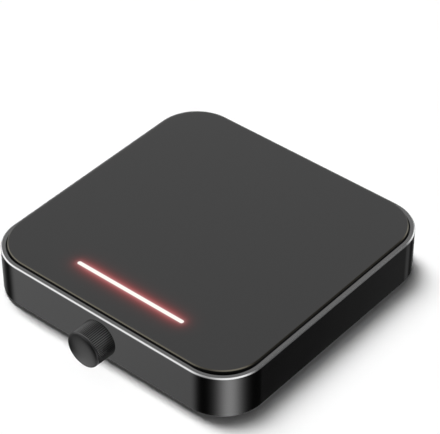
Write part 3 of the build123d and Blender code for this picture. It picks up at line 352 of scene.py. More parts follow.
def black_glass():
    """Glass printed black behind; the indicator's light through a clear window and its halo over the print
    are a painted glow in the glass's emission.
    """
    finish = Finish("black_glass")
    smear = finish.noise(26 * MM, detail=3.0)
    finish.set(IOR=1.5)
    finish.set(Base_Color=finish.blend(smear, grey(0.0012), grey(0.002)))
    finish.set(Roughness=0.02 + 0.015 * smear)
    distance = stadium_distance(finish, light_centre, LIGHT_LENGTH, LIGHT_WIDTH)
    half_width = LIGHT_WIDTH / MM / 2
    from_middle = abs(finish.axis("X") - light_centre[0]) / MM
    on_top = finish.axis("Z") > glass_high.z - GLASS_LIT_DEPTH
    core = finish.smooth(distance, half_width + LIGHT_CORE[0], half_width + LIGHT_CORE[1]) * on_top
    # painted glow: the halo fades with distance from the bar, over the black print too
    fall = ((half_width - distance) / GLOW_REACH).exp().least(1.0)
    ends = finish.smooth(from_middle, *GLOW_ENDS, GLOW_AT_ENDS, 1.0)
    halo = GLOW_LEVEL * fall * ends * on_top
    red = finish.node("ShaderNodeCombineColor", {}, [1.0, 0.30 * fall, 0.31 * fall])
    glow = finish.blend(core, red, (1.0, 0.93, 0.88, 1))
    finish.set(Emission_Strength=1.0)
    finish.set(Emission_Color=finish.scale_colour(glow, halo.most(core)))
    return finish.material


def polished_glass_edge():
    """The glass's ground and polished bevel, which mirrors warmly."""
    finish = Finish("polished_glass_edge")
    fine = finish.noise(0.6 * MM)
    finish.set(Metallic=1.0)
    finish.set(Base_Color=finish.blend(fine, (0.145, 0.134, 0.106, 1), (0.165, 0.152, 0.122, 1)))
    finish.set(Roughness=0.10 + 0.05 * fine)
    return finish.material


def ground_glass_edge():
    """The glass's upright edge, left matt from the grinding wheel."""
    finish = Finish("ground_glass_edge")
    fine = finish.noise(0.2 * MM, detail=3.0)
    finish.set(Base_Color=finish.blend(fine, grey(0.002), grey(0.004)))
    finish.set(Roughness=0.45 + 0.15 * fine, Specular_IOR_Level=0.2)
    finish.bump(fine, 0.002 * MM)
    return finish.material


def moulded_plastic(name, colour, texture_size, texture_depth, roughness):
    """Spark-eroded plastic: small pits over a slightly cloudy colour."""
    finish = Finish(name)
    pits = finish.noise(texture_size, detail=3.0)
    cloud = finish.noise(texture_size * 30)
    dark = tuple(0.88 * c for c in colour) + (1,)
    finish.set(Base_Color=finish.blend(cloud, dark, colour + (1,)))
    finish.set(Roughness=roughness + 0.12 * (pits - 0.5))
    finish.bump(pits, texture_depth)
    return finish.material


def soft_rubber(name, colour):
    """Moulded rubber, matt and a little dusty."""
    finish = Finish(name)
    grain = finish.noise(0.25 * MM, detail=4.0)
    dust = finish.noise(3.0 * MM)
    finish.set(Base_Color=finish.blend(dust, grey(0.8 * colour), grey(colour)))
    finish.set(Roughness=0.72 + 0.16 * grain)
    finish.bump(grain, 0.02 * MM)
    return finish.material


def turned_metal(name, colour, roughness, pitch=0.15 * MM):
    """Machined or pressed metal with faint tool marks."""
    finish = Finish(name)
    marks = finish.noise(pitch, detail=2.0, stretch=(1.0, 0.15, 1.0))
    stain = finish.noise(2.5 * MM)
    dull = tuple(0.8 * c for c in colour) + (1,)
    finish.set(Metallic=1.0)
    finish.set(Base_Color=finish.blend(stain, dull, colour + (1,)))
    finish.set(Roughness=roughness + 0.14 * marks)
    finish.bump(marks, 0.0008 * MM)
    return finish.material


def fibre_pad():
    """Pressed ceramic fibre, drawn out along X."""
    finish = Finish("fibre_pad")
    fibres = finish.noise(0.5 * MM, detail=5.0, stretch=(0.2, 1.0, 1.0))
    finish.set(Base_Color=finish.blend(fibres, (0.55, 0.53, 0.47, 1), (0.80, 0.78, 0.72, 1)))
    finish.set(Roughness=0.9)
    finish.bump(fibres, 0.12 * MM)
    return finish.material


def amber_film():
    """Polyimide film, slightly wavy from the foil that is laminated to it."""
    finish = Finish("amber_film")
    waves = finish.noise(4.0 * MM, detail=1.0)
    finish.set(Base_Color=finish.blend(waves, (0.42, 0.19, 0.03, 1), (0.58, 0.30, 0.06, 1)))
    finish.set(Roughness=0.16 + 0.1 * waves, IOR=1.7)
    finish.bump(waves, 0.03 * MM)
    return finish.material


def circuit_board():
    """Solder mask over glass weave."""
    finish = Finish("circuit_board")
    weave_pitch = 0.6 * MM
    warp = (finish.axis("X") * (2 * pi / weave_pitch)).math("SINE")
    weft = (finish.axis("Y") * (2 * pi / weave_pitch)).math("SINE")
    tone = finish.noise(1.2 * MM, detail=4.0)
    finish.set(Base_Color=finish.blend(tone, (0.004, 0.045, 0.018, 1), (0.008, 0.085, 0.034, 1)))
    finish.set(Roughness=0.32 + 0.1 * tone)
    finish.bump(warp * weft, 0.004 * MM)
    return finish.material


def frosted_acrylic():
    """Milky clear plastic with a sanded skin."""
    finish = Finish("frosted_acrylic")
    frost = finish.noise(0.2 * MM, detail=3.0)
    finish.set(Base_Color=finish.blend(frost, grey(0.74), grey(0.86)))
    finish.set(Roughness=0.45 + 0.2 * frost, IOR=1.49)
    finish.bump(frost, 0.01 * MM)
    return finish.material


casing_metal = dark_satin_metal()
knob_metal = knurled_metal()
chamfer_metal = bright_chamfer()
glass = black_glass()
glass_bevel = polished_glass_edge()
glass_edge = ground_glass_edge()
rubber = soft_rubber("black_rubber", 0.012)
foot_rubber = soft_rubber("foot_rubber", 0.020)
screw_steel = turned_metal("dark_zinc_steel", (0.35, 0.35, 0.36), 0.26)
inlet_metal = turned_metal("inlet_nickel", (0.70, 0.69, 0.66), 0.20)

slot_finishes = {
    "casing_black": casing_metal,
    "black_glass": glass,
    "gasket_rubber": rubber,
    "cover_plastic": moulded_plastic("textured_cover", (0.020, 0.020, 0.021), 0.35 * MM, 0.03 * MM, 0.55),
    "foot_rubber": foot_rubber,
    "screw_steel": screw_steel,
    "spreader_aluminium": turned_metal("rolled_aluminium", (0.80, 0.81, 0.82), 0.30, 0.4 * MM),
    "heater_foil": turned_metal("etched_heater_foil", (0.58, 0.50, 0.42), 0.35),
    "heater_film": amber_film(),
    "insulation": fibre_pad(),
    "pressed_steel": turned_metal("pressed_steel", (0.50, 0.50, 0.51), 0.33, 0.3 * MM),
    "sensor_epoxy": moulded_plastic("sensor_epoxy", (0.03, 0.03, 0.04), 0.3 * MM, 0.01 * MM, 0.35),
    "fuse_case": moulded_plastic("ceramic_fuse_sleeve", (0.80, 0.78, 0.70), 0.2 * MM, 0.01 * MM, 0.55),
    "diffuser_acrylic": frosted_acrylic(),
    "light_box_plastic": moulded_plastic("white_light_box", (0.72, 0.72, 0.70), 0.3 * MM, 0.01 * MM, 0.5),
    "board_fibreglass": circuit_board(),
    "led_package": moulded_plastic("led_package", (0.80, 0.74, 0.50), 0.2 * MM, 0.005 * MM, 0.4),
    "chip_epoxy": moulded_plastic("chip_epoxy", (0.018, 0.018, 0.020), 0.12 * MM, 0.01 * MM, 0.6),
    "capacitor_can": turned_metal("capacitor_can", (0.70, 0.71, 0.73), 0.22),
    "connector_nylon": moulded_plastic("connector_nylon", (0.78, 0.76, 0.70), 0.4 * MM, 0.008 * MM, 0.45),
    "lead_insulation": moulded_plastic("silicone_lead", (0.42, 0.03, 0.02), 0.3 * MM, 0.005 * MM, 0.5),
    "encoder_plastic": moulded_plastic("encoder_plastic", (0.02, 0.06, 0.05), 0.3 * MM, 0.008 * MM, 0.5),
    "encoder_metal": turned_metal("nickel_plate", (0.62, 0.61, 0.58), 0.22),
    "contact_brass": turned_metal("contact_brass", (0.72, 0.55, 0.28), 0.24),
    "knob_black": knob_metal,
    "jack_black": moulded_plastic("inlet_plastic", (0.014, 0.014, 0.015), 0.15 * MM, 0.004 * MM, 0.38),
    "jack_metal": inlet_metal,
}

# Each node of the frame gets the finish of the slot that its own first material names.
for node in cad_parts.values():
    node_slot = node.data.materials[0].name.split(".")[0] if node.data.materials else ""
    node.data.materials.clear()
    node.data.materials.append(slot_finishes.get(node_slot, rubber))


# ---------------------------------------------------------------- outlines and meshes
def rounded(corners, steps):
    """An outline through corners of (x, y, radius), with an arc of so many steps at each radius over 0."""
    points = [Vector((x, y)) for x, y, _ in corners]
    outline = []
    for i, corner in enumerate(points):
        radius = corners[i][2]
        if radius == 0:
            outline.append(corner)
            continue
        back = (points[i - 1] - corner).normalized()
        ahead = (points[(i + 1) % len(points)] - corner).normalized()
        middle = (back + ahead).normalized()
        reach = radius / sqrt(max(1e-9, (1 - back.dot(ahead)) / 2))
        centre = corner + middle * reach
        along = sqrt(reach * reach - radius * radius)
        first = corner + back * along - centre
        last = corner + ahead * along - centre
        turn = atan2(first.x * last.y - first.y * last.x, first.dot(last))
        for step in range(steps + 1):
            swung = Matrix.Rotation(turn * step / steps, 2) @ first
            outline.append(centre + swung)
    return outline


def wire_object(name, points, closed):
    """A chain of edges in the XY plane, for a modifier to sweep or spin."""
    mesh = bpy.data.meshes.new(name)
    pairs = [(i, i + 1) for i in range(len(points) - 1)]
    if closed:
        pairs.append((len(points) - 1, 0))
    mesh.from_pydata([(x, y, 0.0) for x, y in points], pairs, [])
    return link(name, mesh)


def link(name, mesh):
    """Puts the mesh into the scene as an object at the origin."""
    thing = bpy.data.objects.new(name, mesh)
    bpy.context.scene.collection.objects.link(thing)
    return thing


def settle(thing):
    """Gives the object its evaluated mesh, and removes the modifiers that made it."""
    graph = bpy.context.evaluated_depsgraph_get()
    made = bpy.data.meshes.new_from_object(thing.evaluated_get(graph), depsgraph=graph)
    spare = thing.data
    thing.modifiers.clear()
    thing.data = made
    made.name = thing.name
    if spare.users == 0:
        bpy.data.meshes.remove(spare)
    return thing


def tidy(thing, sharp_angle=35.0, fill=False):
    """Merges doubles, closes holes if asked, points faces outwards and shades by angle."""
    work = bmesh.new()
    work.from_mesh(thing.data)
    bmesh.ops.remove_doubles(work, verts=work.verts, dist=MERGE)
    if fill:
        bmesh.ops.holes_fill(work, edges=work.edges, sides=0)
    bmesh.ops.recalc_face_normals(work, faces=work.faces)
    if work.calc_volume(signed=True) < 0:
        bmesh.ops.reverse_faces(work, faces=work.faces)
    work.to_mesh(thing.data)
    work.free()
    thing.data.shade_smooth()
    thing.data.set_sharp_from_angle(angle=radians(sharp_angle))
    even = thing.modifiers.new("even_normals", "WEIGHTED_NORMAL")
    even.keep_sharp = True
    even.weight = 100
    return settle(thing)


def place(thing, matrix):
    """Moves the mesh itself, so that the object stays at the origin."""
    thing.data.transform(matrix)
    return thing


def cut(thing, *cutters, operation="DIFFERENCE"):
    """Cuts the cutters away, or joins them, and removes them."""
    for cutter in cutters:
        change = thing.modifiers.new("cut", "BOOLEAN")
        change.operation = operation
        change.object = cutter
        change.solver = "EXACT"
    settle(thing)
    for cutter in cutters:
        bpy.data.objects.remove(cutter)
    return thing


def paint_where(thing, material, test):
    """Gives the material to the faces whose centre and normal pass the test."""
    thing.data.materials.append(material)
    index = len(thing.data.materials) - 1
    for face in thing.data.polygons:
        if test(face.center, face.normal):
            face.material_index = index
    return thing


def stand_for(thing, slot, body, *nodes):
    """The finished piece takes the place of these nodes and rides on their body."""
    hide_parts(*nodes)
    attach(thing, body)
    return thing


# ---------------------------------------------------------------- Geometry Nodes
class Recipe(Shop):
    """A Geometry Nodes tree with named inputs. It ends in Realize Instances and Set Material."""

    kinds = {float: "NodeSocketFloat", int: "NodeSocketInt"}

    def __init__(self, name, **inputs):
        super().__init__(bpy.data.node_groups.new(name, "GeometryNodeTree"))
        face = self.tree.interface
        face.new_socket("Geometry", in_out="INPUT", socket_type="NodeSocketGeometry")
        for label, kind in inputs.items():
            face.new_socket(label, in_out="INPUT", socket_type=self.kinds.get(kind, kind))
        face.new_socket("Material", in_out="INPUT", socket_type="NodeSocketMaterial")
        face.new_socket("Geometry", in_out="OUTPUT", socket_type="NodeSocketGeometry")
        self.start = self.node("NodeGroupInput")

    def take(self, label):
        return self.start.out(label)

    def end(self, geometry):
        real = self.node("GeometryNodeRealizeInstances", {}, [geometry])
        painted = {"Geometry": real, "Material": self.take("Material")}
        done = self.node("GeometryNodeSetMaterial", {}, painted)
        self.node("NodeGroupOutput", {}, [done])
        return self.tree

    def point(self, x, y, z):
        return self.node("ShaderNodeCombineXYZ", {}, [x, y, z])


def cook(thing, tree, material, **values):
    """Runs a tree on the object's mesh with these inputs, and keeps the result as a plain mesh."""
    values["Material"] = material
    change = thing.modifiers.new(tree.name, "NODES")
    change.node_group = tree
    for item in tree.interface.items_tree:
        if item.in_out == "INPUT" and item.name in values:
            change[item.identifier] = values[item.name]
    return settle(thing)


def sweep_recipe():
    """Sweeps the input outline (X inwards, Y up) round a rectangle with rounded corners."""
    recipe = Recipe("rounded_frame_sweep", Width=float, Depth=float, Radius=float, Steps=int)
    size = {"Width": recipe.take("Width"), "Height": recipe.take("Depth")}
    path = recipe.node("GeometryNodeCurvePrimitiveQuadrilateral", {}, size)
    turned = {"Curve": path, "Radius": recipe.take("Radius"), "Count": recipe.take("Steps")}
    path = recipe.node("GeometryNodeFilletCurve", {"mode": "POLY"}, turned)
    outline = recipe.node("GeometryNodeMeshToCurve", {}, [recipe.take("Geometry")])
    upright = {"Geometry": outline, "Rotation": (0.0, 0.0, pi)}
    outline = recipe.node("GeometryNodeTransform", {}, upright)
    swept = {"Curve": path, "Profile Curve": outline}
    return recipe.end(recipe.node("GeometryNodeCurveToMesh", {}, swept))


def repeat_recipe():
    """Puts a copy of the piece on each point of the input mesh, each turned a step further about Z."""
    recipe = Recipe("copies_on_points", Piece="NodeSocketObject", Turn=float)
    pattern = {"Object": recipe.take("Piece"), "As Instance": True}
    info = recipe.node("GeometryNodeObjectInfo", {}, pattern)
    angle = recipe.node("GeometryNodeInputIndex") * recipe.take("Turn")
    turned = recipe.point(0.0, 0.0, angle)
    copies = {"Points": recipe.take("Geometry"), "Instance": info.out("Geometry"), "Rotation": turned}
    return recipe.end(recipe.node("GeometryNodeInstanceOnPoints", {}, copies))


def knurl_recipe():
    """Presses straight grooves into a turned grip whose axis is Z, between two plain bands."""
    sizes = {"Depth": float, "Low": float, "High": float, "Fade": float, "Inside": float}
    recipe = Recipe("straight_knurl", Count=int, **sizes)
    here = recipe.node("GeometryNodeInputPosition")
    parts = recipe.node("ShaderNodeSeparateXYZ", {}, [here])
    x, y, z = (parts.out(name) for name in "XYZ")
    radius = (x * x + y * y) ** 0.5
    turn = y.math("ARCTAN2", x) * recipe.take("Count") / (2 * pi)
    groove = abs(turn.math("FLOORED_MODULO", 1.0) - 0.5) * 2
    low, high, fade = (recipe.take(name) for name in ("Low", "High", "Fade"))
    band = recipe.smooth(z, low, low + fade) * recipe.smooth(z, high, high - fade)
    outer = radius > recipe.take("Inside")
    depth = groove ** KNURL_SHAPE * band * outer * recipe.take("Depth")
    factor = 1 - depth / radius.most(1e-6)
    moved = {"Geometry": recipe.take("Geometry"), "Position": recipe.point(x * factor, y * factor, z)}
    return recipe.end(recipe.node("GeometryNodeSetPosition", {}, moved))


SWEEP = sweep_recipe()
COPIES = repeat_recipe()
KNURL = knurl_recipe()


def spun(name, outline, steps, closed=True):
    """Turns an outline (X radius, Y height) once round Z."""
    thing = wire_object(name, outline, closed)
    place(thing, Matrix.Rotation(radians(90), 4, "X"))
    spin = thing.modifiers.new("spin", "SCREW")
    spin.axis = "Z"
    spin.steps = spin.render_steps = steps
    spin.use_merge_vertices = True
    spin.merge_threshold = MERGE
    return settle(thing)


def cylinder(name, radius, low, high):
    """A closed cylinder round Z."""
    section = [(0, low), (radius, low), (radius, high), (0, high)]
    return tidy(spun(name, section, HOLE_STEPS, closed=False))


def prism(name, outline, thickness):
    """An outline in Y and Z made this thick, centred on X."""
    mesh = bpy.data.meshes.new(name)
    half = thickness / 2
    count = len(outline)
    points = [(side * half, y, z) for side in (-1, 1) for y, z in outline]
    sides = [(i, (i + 1) % count, count + (i + 1) % count, count + i) for i in range(count)]
    ends = [tuple(range(count)), tuple(range(2 * count - 1, count - 1, -1))]
    mesh.from_pydata(points, [], sides + ends)
    return tidy(link(name, mesh))


def copies(name, pattern, places, material, turn=0.0):
    """The pattern on each place, as one mesh. The pattern itself is removed."""
    mesh = bpy.data.meshes.new(name)
    mesh.from_pydata([(x, y, 0.0) for x, y in places], [], [])
    thing = cook(link(name, mesh), COPIES, material, Piece=pattern, Turn=turn)
    bpy.data.objects.remove(pattern)
    return tidy(thing)


def four_corners(corner):
    """The corner and its mirror images in X and Y."""
    return [(side * corner[0], end * corner[1]) for side in (-1, 1) for end in (-1, 1)]


def along_y(thing, y, z):
    """Lays a piece that was made round Z along Y, its top towards the front."""
    turn = Matrix.Rotation(radians(90), 4, "X")
    return place(thing, Matrix.Translation((0.0, y, z)) @ turn)


# ---------------------------------------------------------------- casing, glass and gasket
def casing_outline():
    """Section of the casing: X is the distance inwards from its outer face, Y the height."""
    corners = [
        (0.0, wall_foot, LOWER_ROUNDING),
        (WALL, wall_foot, 2 * EDGE_ROUNDING),
        (WALL, shelf_foot, 4 * EDGE_ROUNDING),
        (WALL + SHELF_WIDTH, shelf_foot, EDGE_ROUNDING),
        (WALL + SHELF_WIDTH, shelf_top, 2 * EDGE_ROUNDING),
        (WALL, shelf_top, 0.0),
        (WALL, rim_top, EDGE_ROUNDING),
        (RIM_CHAMFER, rim_top, EDGE_ROUNDING),
        (0.0, rim_top - RIM_CHAMFER, EDGE_ROUNDING),
    ]
    return rounded(corners, steps=5)


def make_casing():
    """The frame and its shelf, swept round, bored for the control and the inlet, with webs and bosses."""
    size = casing_high - casing_low
    casing = wire_object("casing", casing_outline(), closed=True)
    frame_size = {"Width": size.x, "Depth": size.y, "Radius": CORNER_RADIUS}
    cook(casing, SWEEP, casing_metal, Steps=CORNER_STEPS, **frame_size)
    tidy(casing)
    bush_hole = cylinder("bush_hole", BUSH_HOLE_RADIUS, -WALL, 2 * WALL)
    along_y(bush_hole, casing_low.y + WALL, knob_centre_z)
    inlet_hole = cylinder("inlet_hole", INLET_HOLE_RADIUS, -WALL, 2 * WALL)
    along_y(inlet_hole, casing_high.y, inlet_centre_z)
    cut(casing, bush_hole, inlet_hole)
    cut(casing, make_gussets(), make_bosses(), operation="UNION")
    return tidy(casing)


def make_gussets():
    """Two triangular webs under the shelf on each of the four sides."""
    inner_face = casing_low.y + WALL
    outline = [
        (inner_face - WELD, shelf_foot + WELD),
        (inner_face + SHELF_WIDTH, shelf_foot + WELD),
        (inner_face + SHELF_WIDTH, shelf_foot),
        (inner_face, shelf_foot - GUSSET_HEIGHT),
        (inner_face - WELD, shelf_foot - GUSSET_HEIGHT),
    ]
    left = prism("left_web", outline, GUSSET_THICKNESS)
    place(left, Matrix.Translation((-GUSSET_OFFSET, 0, 0)))
    right = prism("right_web", outline, GUSSET_THICKNESS)
    place(right, Matrix.Translation((GUSSET_OFFSET, 0, 0)))
    pair = cut(left, right, operation="UNION")
    return copies("gussets", pair, [(0.0, 0.0)] * 4, casing_metal, turn=pi / 2)


def make_bosses():
    """Round posts under the shelf for the cover's screws, each with its pilot hole."""
    foot = shelf_top - BOSS_HEIGHT
    section = [
        (0.0, foot + PILOT_DEPTH),
        (PILOT_RADIUS, foot + PILOT_DEPTH),
        (PILOT_RADIUS, foot),
        (BOSS_RADIUS, foot),
        (BOSS_RADIUS, shelf_foot + WELD),
        (0.0, shelf_foot + WELD),
    ]
    boss = tidy(spun("boss", section, BOSS_STEPS, closed=False))
    return copies("bosses", boss, four_corners(screw_place), casing_metal)


def is_chamfer(centre, normal):
    """The sloping faces at the top of the casing's outer edge."""
    height = rim_top - centre.z
    sloping = STEEPEST_BEVEL < normal.z < FLATTEST_BEVEL
    return height < RIM_CHAMFER and sloping and outside_distance(centre) < RIM_CHAMFER


def outside_distance(point):
    """How far a point lies inside the casing's outer face, seen from above."""
    half = (casing_high - casing_low) / 2 - Vector((CORNER_RADIUS, CORNER_RADIUS, 0))
    x = max(abs(point.x) - half.x, 0.0)
    y = max(abs(point.y) - half.y, 0.0)
    return CORNER_RADIUS - sqrt(x * x + y * y)


def make_glass_plate():
    """The glass: straight ground edge, polished bevel, and two flat faces closed afterwards."""
    size = glass_high - glass_low
    corners = [
        (GLASS_BAND, glass_high.z, 0.0),
        (GLASS_CHAMFER, glass_high.z, GLASS_ROUNDING),
        (0.0, glass_high.z - GLASS_CHAMFER, GLASS_ROUNDING),
        (0.0, glass_base, 2 * GLASS_ROUNDING),
        (GLASS_BAND, glass_base, 0.0),
    ]
    outline = rounded(corners, steps=5)
    plate = wire_object("glass_plate", outline, closed=False)
    plate_size = {"Width": size.x, "Depth": size.y, "Radius": GLASS_CORNER_RADIUS}
    cook(plate, SWEEP, glass, Steps=CORNER_STEPS, **plate_size)
    tidy(plate, fill=True)
    paint_where(plate, glass_edge, is_upright)
    return paint_where(plate, glass_bevel, is_glass_bevel)


def is_upright(centre, normal):
    return abs(normal.z) <= STEEPEST_BEVEL


def is_glass_bevel(centre, normal):
    return centre.z < glass_high.z - GLASS_FLAT_DEPTH and normal.z > STEEPEST_BEVEL


# ---------------------------------------------------------------- knob
def knob_outline():
    """Section of the knob's grip: X is the radius, Y the height from its rear rim to its face."""
    length = knob_high.y - knob_low.y
    rear_radius = (knob_high.x - knob_low.x) / 2
    face_radius = rear_radius - KNOB_TAPER
    dish_radius = face_radius - KNOB_DISH_RIM
    slope_at_rim = KNOB_DISH_POWER * KNOB_DISH_DEPTH / dish_radius
    slope_foot = length - slope_at_rim * dish_radius    # this last corner only aims the lip, and is dropped
    corners = [
        (KNOB_CORE_RADIUS, KNOB_RECESS_DEPTH, 0.0),
        (KNOB_RECESS_RADIUS, KNOB_RECESS_DEPTH, 0.1 * MM),
        (KNOB_RECESS_RADIUS, 0.0, 0.1 * MM),
        (rear_radius, 0.0, KNOB_REAR_ROUNDING),
        (face_radius, length, KNOB_EDGE),
        (dish_radius, length, KNOB_DISH_BLEND),
        (0.0, slope_foot, 0.0),
    ]
    outline = rounded(corners, steps=6)[:-1]
    side = outline.index(max(outline, key=lambda point: point.x))
    band = []
    for step in range(1, KNOB_BAND_STEPS):
        share = step / KNOB_BAND_STEPS
        band.append(outline[side].lerp(outline[side + 1], share))
    outline[side + 1:side + 1] = band
    for step in range(1, KNOB_DISH_STEPS + 1):
        share = 1 - step / KNOB_DISH_STEPS
        depth = KNOB_DISH_DEPTH * (1 - share**KNOB_DISH_POWER)
        outline.append(Vector((dish_radius * share, length - depth)))
    return outline


def make_knob():
    """The grip with its dished face, its recess for the core and its knurl."""
    length = knob_high.y - knob_low.y
    web_foot = length - KNOB_DISH_DEPTH - KNOB_WEB
    outline = knob_outline() + [Vector((0.0, web_foot)), Vector((KNOB_CORE_RADIUS, web_foot))]
    grip = spun("knob_grip", outline, KNURL_COUNT * KNURL_STEPS)
    bands = {"Low": -KNURL_FADE, "High": length - KNOB_EDGE - KNOB_SMOOTH_BAND}
    grooves = {"Count": KNURL_COUNT, "Depth": KNURL_DEPTH, "Fade": KNURL_FADE, "Inside": KNOB_DISH_LIMIT}
    cook(grip, KNURL, knob_metal, **bands, **grooves)
    along_y(grip, knob_high.y, knob_centre_z)
    return tidy(grip, sharp_angle=40.0)


# ---------------------------------------------------------------- feet, screws and inlet
def make_feet():
    """Four turned rubber feet, each with a shallow cup in its underside."""
    radius = (foot_high.x - foot_low.x) / 2
    corners = [
        (0.0, FOOT_CUP_DEPTH, 0.0),
        (FOOT_CUP_RADIUS - FOOT_CUP_DEPTH / 2, FOOT_CUP_DEPTH, 0.2 * MM),
        (FOOT_CUP_RADIUS, 0.0, 0.15 * MM),
        (radius, 0.0, FOOT_EDGE),
        (radius, foot_high.z, 0.1 * MM),
        (0.0, foot_high.z, 0.0),
    ]
    outline = rounded(corners, steps=4)
    foot = tidy(spun("foot", outline, FOOT_STEPS, closed=False), sharp_angle=50.0)
    return copies("rubber_feet", foot, four_corners(foot_centre), foot_rubber)


def make_cover_screws():
    """Pan-head screws with a cross recess, seen from below."""
    head_low = screws_low.z
    corners = [
        (0.0, head_low, 0.0),
        (SCREW_HEAD_RADIUS, head_low, SCREW_HEAD_BEVEL),
        (SCREW_HEAD_RADIUS, head_low + SCREW_HEAD_HEIGHT, 0.1 * MM),
        (SCREW_SHANK_RADIUS, head_low + SCREW_HEAD_HEIGHT, 0.1 * MM),
        (SCREW_SHANK_RADIUS, screws_high.z - SCREW_TIP, 0.2 * MM),
        (0.0, screws_high.z, 0.0),
    ]
    outline = rounded(corners, steps=5)
    screw = tidy(spun("screw", outline, SCREW_STEPS, closed=False), sharp_angle=40.0)
    half = CROSS_LENGTH / 2
    narrow = CROSS_WIDTH / 2
    slot = [
        (-half, head_low - WELD),
        (half, head_low - WELD),
        (narrow, head_low + CROSS_DEPTH),
        (-narrow, head_low + CROSS_DEPTH),
    ]
    first = prism("slot_along_y", slot, CROSS_WIDTH)
    second = place(prism("slot_along_x", slot, CROSS_WIDTH), Matrix.Rotation(pi / 2, 4, "Z"))
    tidy(cut(screw, first, second))
    return copies("cover_screw_set", screw, four_corners(screw_place), screw_steel, turn=SCREW_TURN)


def make_inlet():
    """The inlet's turned metal barrel with its collar, its mouth towards the rear."""
    length = inlet_high.y - inlet_low.y
    collar_radius = (inlet_high.x - inlet_low.x) / 2
    corners = [
        (INLET_BORE, 0.0, 0.1 * MM),
        (INLET_BARREL_RADIUS, 0.0, 0.2 * MM),
        (INLET_BARREL_RADIUS, length - INLET_COLLAR, 0.05 * MM),
        (collar_radius, length - INLET_COLLAR, 0.08 * MM),
        (collar_radius, length, INLET_BEVEL),
        (INLET_BORE, length, 0.25 * MM),
    ]
    outline = rounded(corners, steps=6)
    barrel = spun("inlet_barrel", outline, INLET_STEPS)
    turn = Matrix.Rotation(radians(-90), 4, "X")
    place(barrel, Matrix.Translation((0.0, inlet_low.y, inlet_centre_z)) @ turn)
    barrel.data.materials.append(inlet_metal)
    return tidy(barrel)


# ---------------------------------------------------------------- putting it together
casing = make_casing()
paint_where(casing, chamfer_metal, is_chamfer)
stand_for(casing, "casing_black", "root", "housing")
plate = make_glass_plate()
stand_for(plate, "black_glass", "root", "glass_top")
knob = make_knob()
stand_for(knob, "knob_black", "knob", "knob_shell")
control_nodes = ["knob_core", "encoder_shaft", "encoder_nut", "encoder_washer", "encoder_bush"]
control = [knob] + [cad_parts[name] for name in control_nodes]
for control_piece in control:
    control_piece.visible_shadow = False    # the light is too broad to show the knob's shadow on the floor
for proud_piece in [plate] + control:
    proud_piece.visible_glossy = False      # the casing's satin skin doesn't mirror them
foot_nodes = ["foot_front_left", "foot_front_right", "foot_rear_left", "foot_rear_right"]
stand_for(make_feet(), "foot_rubber", "root", *foot_nodes)
stand_for(make_cover_screws(), "screw_steel", "root", "cover_screws")
stand_for(make_inlet(), "jack_metal", "root", "jack_shell")

# ---------------------------------------------------------------- studio
STRIP_TILTS = (7.0, 14.0, 21.0, 30.0, 40.0)     # degrees from upright, towards the left
STRIP_LEVELS = (0.14, 0.25, 0.28, 0.21, 0.12)   # share of the light from each length of the strip
STRIP_BACK_TILT = 5.0                           # degrees towards the rear
STRIP_SPREAD = 14.0                             # degrees across each lamp
STRIP_STRENGTH = 3.35                           # of all its lamps together
SKY_ON_MATT = 0.08                              # what matt surfaces receive from the room
GAPS_BELOW = 0.006                              # what is left in the dark gaps, below and above the horizon
GAPS_ABOVE = 0.02
FLOOR_REACH = 6.0                               # metres from the object to each edge

CAMERA_AIM = Vector((-3.24, 10.78, 22.02)) * MM
CAMERA_AZIMUTH = 40.07                          # degrees from the front, towards the right
CAMERA_ELEVATION = 39.66                        # degrees above the floor
CAMERA_DISTANCE = 0.8455                        # metres from the point that it aims at
CAMERA_LENS = 169.70                            # focal length in millimetres


def make_floor():
    """White paper that takes the object's shadow."""
    mesh = bpy.data.meshes.new("floor")
    signs = ((-1, -1), (1, -1), (1, 1), (-1, 1))
    mesh.from_pydata([(x * FLOOR_REACH, y * FLOOR_REACH, 0) for x, y in signs], [], [(0, 1, 2, 3)])
    floor = link("floor", mesh)
    finish = Finish("white_paper")
    finish.set(Base_Color=grey(0.96), Roughness=0.9, Specular_IOR_Level=0.0)
    mesh.materials.append(finish.material)
    floor.visible_glossy = False


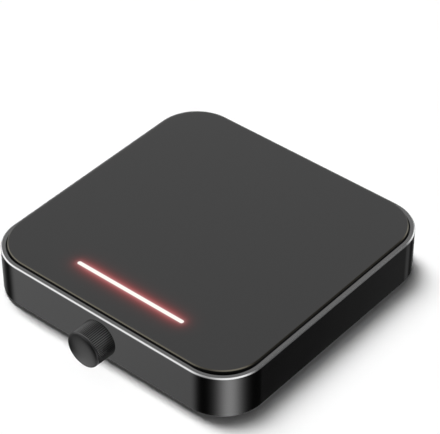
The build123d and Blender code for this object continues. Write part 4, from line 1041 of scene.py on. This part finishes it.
def make_room():
    """White all round for the camera; glossy surfaces see large soft boxes and dark gaps between them."""
    world = bpy.data.worlds.new("studio")
    world.use_nodes = True
    bpy.context.scene.world = world
    room = Shop(world.node_tree)
    direction = room.node("ShaderNodeTexCoord").out("Generated")
    parts = room.node("ShaderNodeSeparateXYZ", {}, [direction])
    x, y, z = (parts.out(name) for name in "XYZ")
    azimuth = y.math("ARCTAN2", x) * (180 / pi)
    elevation = z.math("ARCSINE") * (180 / pi)

    def card(level, at, width, steepness=2.0, fade=None):
        """Light round the azimuth at; fade holds the elevations where it starts and where it is full."""
        turn = azimuth - (at - 180.0)
        off_centre = abs(turn.math("FLOORED_MODULO", 360.0) - 180.0)
        light = level * (-1.0 * (off_centre / width) ** steepness).exp()
        return light * room.smooth(elevation, *fade) if fade else light

    # Azimuth 0 is the right, 90 the rear, -90 the front. The lower half is for walls and the knob.
    left_box = card(0.84, at=-134, width=19, steepness=3.0, fade=(-70.0, -24.0))
    dish_card = card(0.6, at=-110, width=18, fade=(-36.0, -23.0))
    corner_box = card(1.5, at=-34, width=24.5)
    upper_card = card(0.4, at=36, width=25, fade=(-34.0, -18.0))
    wall_card = card(0.19, at=67, width=10, steepness=4.0)
    under_knob_card = card(1.5, at=87, width=21, fade=(-47.0, -55.0))
    rear_card = card(0.3, at=138, width=36, steepness=4.0)
    wall_foot_card = card(1.0, at=170, width=27, steepness=4.0, fade=(-53.0, -59.0))
    nadir = 1.5 * room.smooth(elevation, -75.0, -83.0)
    horizon = 0.25 * room.smooth(elevation, -28.0, -10.0)
    left_side = GAPS_BELOW + left_box + dish_card + rear_card + wall_foot_card
    right_side = corner_box + upper_card + wall_card + under_knob_card
    below = left_side + right_side + nadir + horizon

    # The upper half is for the glass, the rim and the chamfer: white, with dark gaps.
    front_gap = card(0.62, at=-88, width=30, fade=(84.0, 66.0))
    corner_gap = card(0.95, at=-55, width=50, steepness=4.0, fade=(42.0, 26.0))
    right_gap = card(0.92, at=35, width=26, steepness=3.0, fade=(84.0, 66.0))
    above = (1.0 - front_gap - right_gap - corner_gap).most(GAPS_ABOVE)
    upward = room.smooth(elevation, -8.0, 2.0)
    gloss = below * (1 - upward) + above * upward
    path = room.node("ShaderNodeLightPath")
    shiny = path.out("Is Glossy Ray")
    matt = path.out("Is Diffuse Ray")
    level = 1.0 - matt * (1 - SKY_ON_MATT) - shiny + shiny * gloss
    tone = room.node("ShaderNodeCombineColor", {}, [level] * 3)
    light = room.node("ShaderNodeBackground", {}, {"Color": tone})
    room.node("ShaderNodeOutputWorld", {}, [light])


def make_strip_light():
    """A long overhead lamp that runs to the left, as a row of wide distant lamps."""
    for tilt, level in zip(STRIP_TILTS, STRIP_LEVELS):
        lamp = bpy.data.lights.new("strip", "SUN")
        lamp.energy = STRIP_STRENGTH * level
        lamp.angle = radians(STRIP_SPREAD)
        part = bpy.data.objects.new("strip", lamp)
        slope = Vector((-tan(radians(tilt)), tan(radians(STRIP_BACK_TILT)), 1.0))
        part.rotation_mode = "QUATERNION"
        part.rotation_quaternion = (-slope).to_track_quat("-Z", "Y")
        part.visible_glossy = False
        bpy.context.scene.collection.objects.link(part)


def make_camera():
    """A long lens that looks down on the front right corner."""
    azimuth = radians(CAMERA_AZIMUTH)
    elevation = radians(CAMERA_ELEVATION)
    back = Vector((sin(azimuth) * cos(elevation), -cos(azimuth) * cos(elevation), sin(elevation)))
    lens = bpy.data.cameras.new("camera")
    lens.lens = CAMERA_LENS
    lens.clip_start = 0.05
    lens.clip_end = 50.0
    camera = bpy.data.objects.new("camera", lens)
    camera.location = CAMERA_AIM + back * CAMERA_DISTANCE
    camera.rotation_mode = "QUATERNION"
    camera.rotation_quaternion = (-back).to_track_quat("-Z", "Y")
    bpy.context.scene.collection.objects.link(camera)
    bpy.context.scene.camera = camera


make_floor()
make_room()
make_strip_light()
make_camera()
bpy.context.scene.view_settings.view_transform = "Standard"
